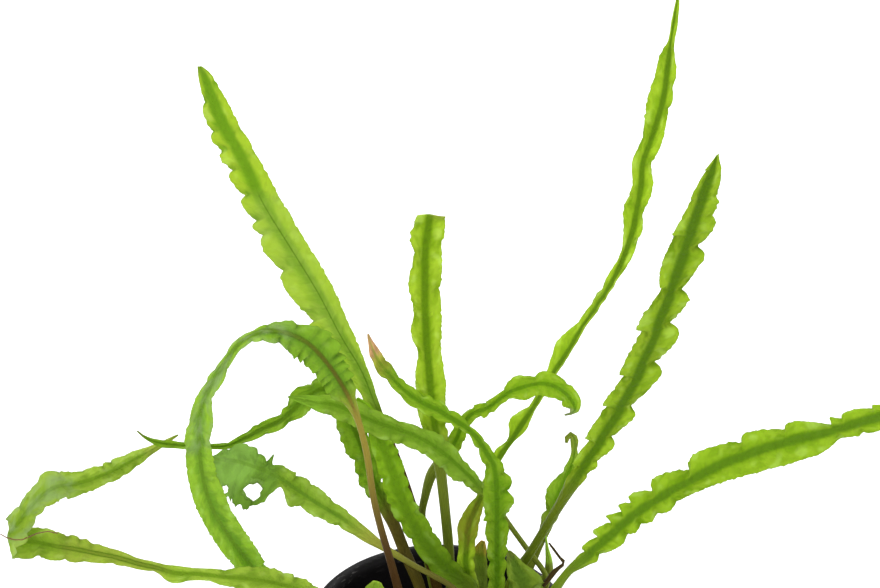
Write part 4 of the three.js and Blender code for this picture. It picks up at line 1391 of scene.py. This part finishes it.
wavy_left_notches = from_pixels([
    [510, 443], [532, 410], [604, 290], [624, 252, 0.6], [630, 198], [641, 138], [665, 43],
])
wavy_right_notches = from_pixels([
    [622, 271], [638, 242], [641, 217], [652, 166, 0.7], [668, 110, 0.8], [672, 88, 0.8], [671, 50],
])
grow_leaf(
    "leaf_right_wavy", (7, 2), leaf_right_wavy,
    material=bright_leaf, ruffle=0.8, notch=0.13, frill=5.4,
    notches=(wavy_left_notches, wavy_right_notches), seed=3,
)

# %% [markdown]
# ## The leaf that crosses the middle
# It rises behind the crown on an olive stalk, bends over to the left and crosses in front of four
# other leaves.

# %% The leaf that crosses the middle
leaf_crossing = [
    [21.4, -58.2, 5.5, 0.6],
    [20.8, -55.6, 6, 0.6],
    [18, -51.8, 6, 0.6],
    [13.2, -45.2, 4.5, 0.6],
    [10, -40.6, 2.5, 0.9],
    [8, -38.8, 1.5, 1.4, 1.2],
    [6, -36.6, 0, 2, 1.4],
    [3, -33.8, -1, 3, 1.8],
    [0, -31.2, -2, 2.6, 2.7],
    [-4, -28.8, -3, 2.6, 2.2],
    [-8, -27.2, -3.5, 2.8, 1.8],
    [-12.4, -25.8, -4, 2.8, 2.2],
    [-17, -23.8, -4, 2.6, 2.4],
    [-21, -22.2, -4, 2.6, 2],
    [-25, -21.6, -4, 1.6, 1.4],
    [-28, -21, -4, 0.8],
    [-30.4, -20.6, -4, 0.2],
]
grow_leaf(
    "leaf_crossing", (18.1, 5.5), leaf_crossing,
    material=middle_leaf, ruffle=0.8, notch=0.12, frill=4.6, seed=4, slot="leaf_deep",
)

# %% [markdown]
# ## The low leaf that bends to the left
# Its brown stalk runs close beside the looped leaf's. The blade bends over at its widest place and
# ends in a long, thin, twisted point.

# %% The low leaf that bends to the left
leaf_low_left = [
    [-4, -58.8, 2.5, 1.2],
    [-7, -51.6, 3, 1.3, 1.2],
    [-9.2, -46.2, 3.5, 1.3],
    [-11.4, -41.2, 4, 1.9, 1.4],
    [-13.4, -36.8, 4, 3, 1.6],
    [-14.8, -32.8, 4, 2.8, 2],
    [-16.4, -28.8, 4, 3.4, 2.2],
    [-18.4, -24.2, 4, 3, 2.4],
    [-21, -20.4, 4, 2.6, 2.4],
    [-23.6, -19, 3.5, 2.4],
    [-27.4, -21.2, 2.5, 2.7, 2.6],
    [-31.4, -25, 1, 1.7, 1.3],
    [-35.6, -27, 0, 1.5, 1.4],
    [-39.4, -29, -1, 0.9],
    [-43, -30.4, -2, 0.7],
    [-48, -30.4, -4, 0.6],
    [-52.4, -30.2, -5, 0.8],
    [-56, -29.8, -6, 0.8, 0.7],
    [-58.4, -29, -6, 0.4],
    [-60.6, -27.4, -6, 0.15],
]
grow_leaf(
    "leaf_low_left", (-3, 2.5), leaf_low_left,
    material=brown_stalk_leaf, ruffle=0.9, notch=0.2, frill=4.0, seed=5,
)

# %% [markdown]
# ## The looped leaf
# The longest leaf climbs on a brown stalk, arches over and hangs down again to the pot. Its midrib
# is brown up to the top of the arch. There the margins are crowded with small frills, which stand
# higher and closer together than elsewhere. The leaf has closer sections than the others for them.

# %% The looped leaf
leaf_looped = [
    [-7, -63.6, -3.5, 1],
    [-8.4, -58.8, -5, 0.9],
    [-10.2, -52.4, -6.5, 0.8],
    [-12, -46.2, -7.5, 0.75],
    [-13.4, -40.2, -8.5, 0.7],
    [-14.6, -32.2, -9, 0.7],
    [-16.4, -25.2, -10, 0.7],
    [-18, -21.2, -10.5, 1.5, 1.3],
    [-19.6, -18.2, -11, 3.2, 2.6],
    [-21.4, -15.4, -12, 3.5, 3.2],
    [-23.6, -12.6, -13, 3.3, 4.2],
    [-26, -10.2, -14, 3.8, 4.2],
    [-28.6, -8.6, -15, 3.6, 2.8],
    [-31.6, -7.6, -16, 2.6, 2.3],
    [-35, -7.4, -17, 2.2, 1.2],
    [-38, -8.4, -18, 1.4, 0.8],
    [-40.4, -10.2, -19, 1.1],
    [-42.4, -12.8, -20, 1.1, 0.8],
    [-44.6, -16.2, -21, 1.7, 1.2],
    [-46.8, -20.2, -22, 1.5],
    [-48, -24.2, -22.5, 2.6, 1.9],
    [-48.2, -29.2, -22.5, 2.4, 2.8],
    [-47.8, -34.2, -22, 2.6, 2.8],
    [-46.8, -39.2, -21, 3.2, 2.9],
    [-45.2, -43.6, -19.5, 3.2, 2.7],
    [-42.4, -48.2, -17.5, 3.1, 2.9],
    [-39.4, -52.2, -15, 2.9, 2.7],
    [-36.4, -56.2, -12.5, 2.2],
    [-34.4, -59.6, -11, 0.3],
]
looped_inner_notches = [
    [-43.6, -14.2], [-45.6, -21.2, 0.5], [-45.4, -29.2, 0.7], [-43.6, -36.2, 0.5], [-41.6, -42.2, 0.15],
    [-37, -53.2, 0.1],
]
looped_outer_notches = [
    [-48.8, -16.2], [-50.8, -25.2, 0.6], [-50.8, -31.2, 0.5], [-49.6, -39.2, 0.15], [-45, -49.2, 0.1],
    [-40.4, -56.2, 0.1],
]
grow_leaf(
    "leaf_looped", (-5.5, -2.5), leaf_looped,
    material=looped_leaf_green, ruffle=0.8, notch=0.14, frill=3.2,
    notches=(looped_inner_notches, looped_outer_notches), tight=(73, 108, 0.3), row=0.32, front_rib=0.5,
    seed=6,
)

# %% [markdown]
# ## The folded leaf on the far left
# It leans far out over the pot and is folded back on itself, so its tip points at the plant again.
# Its stations give the angle of the blade across the view, because the midrib turns round there.

# %% The folded leaf on the far left
leaf_folded = [
    [-14, -67.6, -9, 1.2, 1.2, 50],
    [-19, -64.2, -12, 1.3, 1.3, 58],
    [-24, -61.2, -14, 1.8, 1.8, 62],
    [-28, -59.2, -16, 2.4, 2.4, 68],
    [-33, -57.8, -18, 2.8, 2.8, 76],
    [-38, -57, -20, 2.6, 2.6, 82],
    [-43, -56.6, -21, 1.7, 1.7, 84],
    [-48, -56, -22, 1.2, 1.2, 84],
    [-53, -55.8, -22, 2, 1.5, 82],
    [-56.4, -54.8, -22, 1.1, 1.1, 76],
    [-60, -54, -22, 1.1, 1.1, 74],
    [-65, -52.6, -22, 1.5, 1.5, 76],
    [-69, -51.8, -22, 1.9, 1.9, 79],
    [-73, -51, -22, 2.6, 2.6, 80],
    [-77, -50.4, -22, 2.8, 2.9, 80],
    [-81, -49.6, -22, 3.2, 3.2, 84],
    [-84, -49.4, -22.3, 3.5, 3.4, 87],
    [-86, -48.8, -24, 3.8, 3.8, 90],
    [-84.8, -46.6, -25.7, 2.9, 2.9, 113],
    [-82.6, -43.6, -25.5, 2.2, 2.2, 140],
    [-80.4, -41, -24, 2.5, 2.5, 130],
    [-78.9, -39.8, -23.1, 2.6, 2.6, 122],
    [-77.2, -38.7, -22.1, 2.9, 3.7, 116],
    [-75.4, -38.3, -20.9, 2.8, 3, 107],
    [-73, -38, -19, 2.5, 2.5, 104],
    [-68, -36.4, -15, 2.1, 2.1, 110],
    [-64, -34.6, -10, 2, 2, 116],
    [-60, -32.4, -5, 1.4, 1.4, 118],
    [-57, -30.8, -1.5, 0.8, 0.8, 118],
    [-52.4, -28.2, 2, 0.2, 0.2, 118],
]
grow_leaf(
    "leaf_folded", (-9, -5), leaf_folded,
    material=folded_leaf_green, ruffle=0.6, notch=0.12, frill=4.6, tight=(96, 124, 1.0), seed=7,
    folded_over=True,
)

# %% [markdown]
# A dead brown strand has dried on to the fold. It is as thin as a hair, so it is one bent hair like
# those on the wool, a little thicker.

# %% The strand on the fold
STRAND_RADIUS = 0.15
strand_spots = [
    [-88, -48, -27.5],
    [-86.6, -48.8, -27.6],
    [-85, -49.2, -27.6],
    [-83.6, -49.2, -27.4],
    [-82.4, -48.7, -26.6],
    [-80.6, -47.9, -24.6],
    [-78.4, -47.5, -22.8],
    [-76.4, -47.9, -22.2],
]
strand_line = [place(*spot) for spot in strand_spots]
strand = hairs_piece("dead_strand", [strand_line], STRAND_RADIUS)
strand.data.materials.append(plain_material("dry_brown", (0.16, 0.075, 0.02), 0.8))
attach(strand, "root")
print("strand:", len(strand.data.polygons), "faces")

# %% [markdown]
# ## The leaf that is cut off
# It stands straight up in the middle. Its tip was cut off square.

# %% The leaf that is cut off
leaf_cut = [
    [2.4, -59.2, 5.5, 1.2],
    [1.6, -49.2, 6, 1.1],
    [0.8, -41.2, 6, 1.1],
    [0, -34.2, 6, 1.3],
    [-0.6, -29.2, 6, 2.2],
    [-1.2, -25.2, 6, 3, 2.8, 10],
    [-1.8, -20.2, 6.5, 3.3, 3.1, 15],
    [-2.2, -15.2, 7, 3, 3, 15],
    [-2.6, -11.2, 7.5, 2.2, 3, 15],
    [-2.8, -7.2, 8, 3.3, 3.2, 15],
    [-3, -3.2, 8.5, 2.7, 3.3, 15],
    [-3, 2.8, 9.5, 3.5, 3.4, 15],
    [-3, 7.8, 10, 2.6, 3.4, 15],
    [-2.6, 11.8, 10.5, 3.5, 3.4, 15],
    [-2, 15.8, 11, 2.9, 3.3, 15],
]
cut_left_notches = from_pixels([
    [421, 430], [415, 392, 0.6], [418, 352], [414, 312], [414, 251], [417, 222],
])
cut_right_notches = from_pixels([[446, 412], [442, 350, 0.3], [442, 290, 0.6], [443, 246, 0.5]])
grow_leaf(
    "leaf_cut", (5, 5), leaf_cut,
    material=cut_leaf_green, ruffle=0.5, notch=0.10,
    notches=(cut_left_notches, cut_right_notches), seed=8,
)

# %% [markdown]
# ## The leaf with a brown-pink tip
# It stands up in front of the crown, then twists, narrows and crosses over the cut leaf.

# %% The leaf with a brown-pink tip
leaf_twisted = [
    [11.2, -61.2, -4.5, 1.7],
    [11.4, -56.2, -5, 1.9, 1.7],
    [11.4, -50.2, -5.5, 2, 2.2],
    [11.4, -45.2, -6, 2.5, 2.4],
    [11.4, -40.2, -6.5, 2.7, 3.3],
    [11.2, -36.8, -7, 2.4, 2.9],
    [10.6, -34, -7, 1.9, 1.7],
    [9.2, -31.6, -7.3, 1.5, 1.2],
    [7.8, -29.3, -7.5, 1.3, 1.2],
    [6.3, -27.6, -7.5, 0.8],
    [4.2, -26, -7.5, 1.2, 1.4],
    [2.2, -24.8, -8, 1.3, 1.5],
    [0, -23.4, -8, 1.8],
    [-3, -22, -8.5, 1.8],
    [-6, -20.2, -9, 1.6],
    [-8.4, -18, -9.5, 1.3],
    [-11.2, -14.8, -10.5, 1.5],
    [-12.8, -12.4, -11, 1.2, 1.3],
    [-13.8, -10, -11.5, 0.6, 0.7],
    [-14.4, -8, -12, 0.2],
]
twisted_left_notches = [[11.4, -44, 0.3], [10.4, -33.4, 0.7], [8.6, -30.6], [6.3, -27.6, 0.6]]
twisted_right_notches = [
    [11.4, -50.4, 0.5], [11.4, -45.2], [11.4, -39.6], [11.2, -36.2], [10.4, -33.2, 0.6], [8.4, -30.2],
]
grow_leaf(
    "leaf_twisted", (11, -4), leaf_twisted,
    material=pink_tip_leaf, ruffle=0.8, notch=0.22, frill=4.2,
    notches=(twisted_left_notches, twisted_right_notches), peaks=(0.5, 0.76), seed=9, slot="leaf_deep",
)

# %% [markdown]
# ## The leaf that arches to the right
# A narrow leaf from the back of the crown. It arches over to the right and its tip curls under.

# %% The leaf that arches to the right
leaf_arching_right = [
    [-0.4, -61.2, 10, 1],
    [-2.4, -53.2, 10.5, 0.9],
    [-3.6, -44.2, 10.5, 0.8],
    [-3, -40.6, 10.5, 0.9],
    [-1.8, -36.2, 10.5, 1.1, 1.2],
    [0, -33.6, 10.5, 1.2, 1.3],
    [1.8, -31.6, 10.5, 1.5],
    [3.2, -29.2, 10.5, 1.7, 1.8],
    [4.4, -26.4, 10, 1.4],
    [6.4, -24, 9, 1.3],
    [9, -23, 7.5, 1.5, 1.6],
    [11.2, -21.6, 6, 1.1, 1.2],
    [13.6, -19.8, 4.5, 1.5, 1.4],
    [16.6, -18.6, 2.5, 2.6, 2.5],
    [19, -18, 0.5, 2, 2.4],
    [21.4, -18, -1.3, 2.4, 2.5],
    [23.6, -18.8, -3, 2.3],
    [25.4, -20.2, -4.6, 1.9, 2],
    [26.7, -22, -6.2, 1.6, 1.9],
    [26.9, -23.3, -7.4, 0.9, 1.1],
    [26.2, -23.9, -8, 0.35],
    [24.9, -24.2, -8.6, 0.2],
]
arching_upper_notches = [[9.6, -22.8], [13.2, -20], [19, -18], [24.6, -19.4, 0.7]]
arching_under_notches = [
    [9.4, -23], [11.8, -21.2], [13, -20.2, 0.6], [20.2, -18, 0.3], [25.6, -20.4, 0.6],
]
grow_leaf(
    "leaf_arching_right", (1.5, 10), leaf_arching_right,
    material=sunlit_leaf, ruffle=0.8, notch=0.2, frill=4.4,
    notches=(arching_upper_notches, arching_under_notches), peaks=(0.36, 0.5), seed=10,
)

# %% [markdown]
# ## The straight leaf on the right
# The best example of the ruffled margin: a straight blade with a broad dark midrib and two rows of
# rounded lobes.

# %% The straight leaf on the right
leaf_right_straight = [
    [13.6, -59.6, 3.5, 1.2],
    [15.4, -55.6, 3, 1.1],
    [18, -51.8, 2, 0.95],
    [20.6, -47.6, 0.5, 0.95],
    [24.4, -41.4, -2, 1.1],
    [27, -37.2, -4, 1.7, 1.5, 5],
    [30, -32.6, -6, 2.5, 2.3, 10],
    [32.6, -28.6, -8, 3.1, 2.7, 15],
    [35.6, -23.6, -10, 3.7, 3.1, 20],
    [39, -17.4, -13, 3.6, 3.6, 20],
    [42.2, -10.2, -16, 4, 4.2, 20],
    [44.4, -4.2, -18, 3.9, 3.7, 20],
    [46.4, 1.2, -20, 2.6, 3.5, 20],
    [48.2, 6.4, -22, 3.7, 3.5, 20],
    [49.8, 11.2, -24, 3.6, 4, 20],
    [51.4, 16.2, -26, 2.6, 3.2, 15],
    [53.2, 21.6, -28, 1.7, 2.4, 10],
    [54.6, 25.2, -29, 1.2, 1.3, 5],
    [55.4, 27.8, -30, 0.2],
]
straight_left_notches = from_pixels([
    [572, 462], [589, 439], [607, 403], [622, 372], [644, 328], [666, 288], [679, 232, 0.6],
])
straight_right_notches = from_pixels([
    [574, 500, 0.5], [590, 478, 0.7], [599, 467, 0.7], [613, 444], [631, 413], [653, 368], [675, 330],
    [687, 297], [699, 254], [712, 220, 0.4],
])
grow_leaf(
    "leaf_right_straight", (13.5, 4), leaf_right_straight,
    material=strong_rib_leaf, ruffle=0.9, notch=0.24, frill=6.4,
    notches=(straight_left_notches, straight_right_notches), peaks=(0.26, 0.8), leans=(-0.7, 0.9),
    seed=11,
)

# %% [markdown]
# ## The low leaf on the right
# It arches out over the pot's right rim and on past the picture's edge, where it ends in a point.

# %% The low leaf on the right
leaf_right_low = [
    [20, -63.6, -6, 1.1],
    [23.2, -58.8, -7.5, 1],
    [26, -55.2, -9, 0.9],
    [28.6, -53.2, -10, 1.4, 1.6],
    [31.2, -50.8, -11.5, 2.2, 2.4, -5],
    [34.4, -48, -13.5, 2.9, 2.9, -10],
    [38.6, -44.4, -16, 3.3, 3.1, -15],
    [44, -40.8, -19, 3.7, 3.5, -20],
    [50.4, -37.2, -22, 3.9, 3.2, -20],
    [57, -33.8, -25, 3.9, 3.7, -20],
    [63.6, -31.4, -27.5, 3.7, 4.3, -20],
    [70, -29.4, -30, 3.4, 4.5, -20],
    [76, -28, -32, 2.7, 3.8, -20],
    [80.4, -26.8, -33.5, 2.3, 2.4, -20],
    [85, -25.4, -35, 2.5, 2.8, -15],
    [90, -24, -36, 2, 2.2, -10],
    [95, -22.8, -37, 1.2, 1.2, -5],
    [99, -22, -38, 0.2],
]
low_upper_notches = from_pixels([
    [574, 563], [586, 553], [598, 540], [607, 520], [621, 513], [626, 500, 0.7], [648, 489], [684, 468],
    [741, 445, 0.6], [784, 432, 0.7], [829, 422], [842, 420, 0.6],
])
low_under_notches = from_pixels([
    [583, 571], [598, 557], [628, 538], [640, 525], [659, 516], [676, 502], [765, 473, 0.15],
    [839, 440],
])
grow_leaf(
    "leaf_right_low", (16.6, -5), leaf_right_low,
    material=low_leaf_green, ruffle=0.9, notch=0.24,
    notches=(low_upper_notches, low_under_notches), peaks=(0.32, 0.74), leans=(-0.4, 0.6), seed=12,
)

# %% [markdown]
# ## The short leaf behind the straight one
# A short leaf with a folded tip. It stands close behind the straight leaf.

# %% The short leaf behind the straight one
leaf_short_behind = [
    [14.4, -61.2, 8, 1],
    [17.6, -55.2, 9, 1],
    [20.2, -49.2, 10, 1],
    [22.2, -44.2, 11, 1.9, 1.5],
    [24, -39.4, 12, 2.5, 1.7],
    [25.8, -35.6, 12.8, 1.6, 1.3],
    [26.6, -33.4, 13, 0.9],
    [26.9, -31, 12.8, 0.75],
    [26.8, -29, 12.4, 0.85],
    [26.2, -28.1, 12, 0.8],
    [25.5, -28.6, 11.5, 0.6],
    [25.3, -29.8, 11, 0.3],
]
grow_leaf(
    "leaf_short_behind", (11.4, 8), leaf_short_behind,
    material=short_leaf_green, ruffle=0.7, notch=0.22, frill=4.0,
    notches=([[21.2, -46.4], [22.4, -43.8], [25.6, -36.0]], ()), seed=13,
)

# %% [markdown]
# ## A small leaf at the back
# A narrow, half-grown leaf at the right of the crown.

# %% A small leaf at the back
leaf_small_back = [
    [17.1, -60, 9.5, 0.8],
    [21.4, -56.4, 9, 1],
    [21.8, -53.6, 9, 0.8],
    [21.4, -50.8, 9, 0.4],
    [21.2, -48.4, 9, 0.15],
]
grow_leaf(
    "leaf_small_back", (16.5, 10), leaf_small_back,
    material=middle_leaf, ruffle=0.2, notch=0.05, seed=14, slot="leaf_deep",
)

# %% [markdown]
# ## The torn leaf
# A dull, greyish leaf whose end has rotted: it has two holes and a ragged margin.

# %% The torn leaf
leaf_torn = [
    [5, -62, -7.5, 0.8],
    [2.4, -58.6, -7, 0.6],
    [-1.6, -56.2, -5.5, 0.6],
    [-5, -54.4, -3.5, 0.6],
    [-8.4, -52.4, -1.5, 0.7],
    [-11.6, -50.4, -1, 0.9, 0.8],
    [-14, -48.8, -1, 1.3, 1.2],
    [-16.6, -47, -1, 1.5],
    [-19.4, -45, -1, 1.9, 1.8],
    [-23, -42.8, -1.5, 2.4, 2.2],
    [-26, -40.9, -1.8, 2.8],
    [-28.6, -39.1, -2.3, 3.6, 2.8],
    [-31, -37.5, -3.2, 1.8, 2.6],
    [-32.6, -36.5, -3.7, 4.6, 2.5],
    [-33.9, -35.9, -4.1, 6.6, 2.1],
    [-34.5, -35.6, -4.3, 7.4, 2.1],
    [-34.9, -35.4, -4.4, 7.8, 4.6],
    [-35.3, -35.2, -4.5, 8, 2.2],
    [-37, -34.6, -5, 8.5, 3.1],
    [-40, -33.6, -5.5, 7.8, 3.8],
    [-42.4, -33.2, -6, 7.4, 2.6],
    [-44.4, -33, -6, 4.8, 1.4],
    [-45.6, -32.8, -6, 1.2, 0.4],
]
torn_under_notches = [
    [-26.4, -40.6, 0.8], [-31, -37.5, 0.8], [-35.2, -35.3, 0.2], [-37.8, -34.3, 0.3], [-39.6, -33.8, 0.2],
    [-41.6, -33.3, 0.35], [-43.6, -33.1, 0.3],
]
torn_skin = grow_leaf(
    "leaf_torn", (6.5, -7), leaf_torn,
    material=dull_leaf, ruffle=0.7, notch=0.16, frill=4.4, row=0.25,
    notches=(torn_under_notches, ()), seed=15, slot="leaf_deep",
)

# %% [markdown]
# The holes go right through the blade. A rough-edged plug is pushed through along the line of sight
# and taken away from the skin, which leaves a clean wall all round each hole. A hole is written as
# [across, up, behind, radius].

# %% The two holes in the torn leaf
torn_holes = [[-37.2, -39.3, -5.2, 1.7], [-42.8, -38.8, -6, 0.75]]
PLUG_SIDES = 14
PLUG_LENGTH = 16
BROAD_WAVE = 0.14
FINE_WAVE = 0.08


def tear_hole(skin, across, up, behind, radius):
    bpy.ops.object.select_all(action="DESELECT")
    bpy.ops.mesh.primitive_cylinder_add(vertices=PLUG_SIDES, radius=radius * MM, depth=PLUG_LENGTH * MM)
    plug = bpy.context.object
    for vertex in plug.data.vertices:
        angle = math.atan2(vertex.co.y, vertex.co.x)
        rough = 1 + BROAD_WAVE * math.sin(3 * angle + across) + FINE_WAVE * math.sin(7 * angle)
        vertex.co.x *= rough
        vertex.co.y *= rough
    plug.location = place(across, up, behind) * MM
    plug.rotation_euler = view_ahead.to_track_quat("Z", "Y").to_euler()
    bpy.context.view_layer.objects.active = skin
    cut = skin.modifiers.new("hole", "BOOLEAN")
    cut.operation = "DIFFERENCE"
    cut.solver = "MANIFOLD"
    cut.object = plug
    bpy.ops.object.modifier_apply(modifier=cut.name)
    bpy.data.objects.remove(plug)


for hole in torn_holes:
    tear_hole(torn_skin, *hole)
print("torn leaf", len(torn_skin.data.vertices), "vertices")

# %% [markdown]
# ## The dying leaf
# A short, yellow-orange leaf low in the crown.

# %% The dying leaf
leaf_dying = [
    [8.6, -61.2, 5, 1],
    [8.1, -55.2, 4.5, 1.9, 1.5],
    [8, -52.4, 4.5, 1.9, 1.4],
    [8.3, -50.6, 4.5, 1.3, 1.1],
    [8.6, -49.4, 4.5, 0.5],
]
grow_leaf(
    "leaf_dying", (10, 5), leaf_dying,
    material=yellow_leaf, ruffle=0.3, notch=0.08, seed=16, slot="leaf_yellow",
)

# %% [markdown]
# ## The broad sheath
# The broad foot of a leaf, at the right of the crown.

# %% The broad sheath
leaf_sheath = [
    [17, -61.2, -1.8, 3.5, 4.2],
    [16.6, -58.6, -1.8, 3.4, 4.6],
    [15.9, -56.4, -1.8, 2.6, 3.4],
    [15, -54.2, -1.8, 2, 1.8],
    [14.2, -52.4, -1.8, 1.1, 1],
    [13.7, -51.4, -1.8, 0.4],
]
grow_leaf(
    "leaf_sheath", (14, 0), leaf_sheath,
    material=sheath_green, ruffle=0.6, notch=0.1, seed=17, slot="leaf_deep",
)

# %% [markdown]
# ## The young leaf in front
# Only the tip of this pale leaf reaches into the picture, in front of the pot's dark inside.

# %% The young leaf in front
leaf_young_front = [
    [-13.8, -70.2, -13.5, 0.9],
    [-13.4, -66.2, -14, 1.6],
    [-13.2, -61.8, -14.5, 2.4],
    [-13, -59.2, -15, 2.2, 2.4],
    [-12.6, -57.6, -15, 0.9, 1],
]
grow_leaf(
    "leaf_young_front", (-15, -12.5), leaf_young_front,
    material=pale_leaf, ruffle=0.3, notch=0.05, seed=18,
)

# %% [markdown]
# ## The dead thread
# A thin, dark brown, dead piece of root that sticks up beside the crown and bends over.

# %% The dead thread
dead_root = [
    [19.6, -59.6, 0, 0.5],
    [21.6, -57.2, 0.5, 0.55],
    [23, -55.5, 0.8, 0.65, 0.5],
    [24.1, -54.5, 1, 0.35],
    [24.9, -53.8, 1.2, 0.45],
    [24.2, -53, 2, 0.3],
    [22.7, -51, 3, 0.28],
    [21.8, -49.8, 4, 0.2],
]
grow_leaf(
    "dead_root", (18.5, 1), dead_root,
    material=dead_brown, ruffle=0.0, notch=0.0, seed=19, slot="dead_tissue",
)
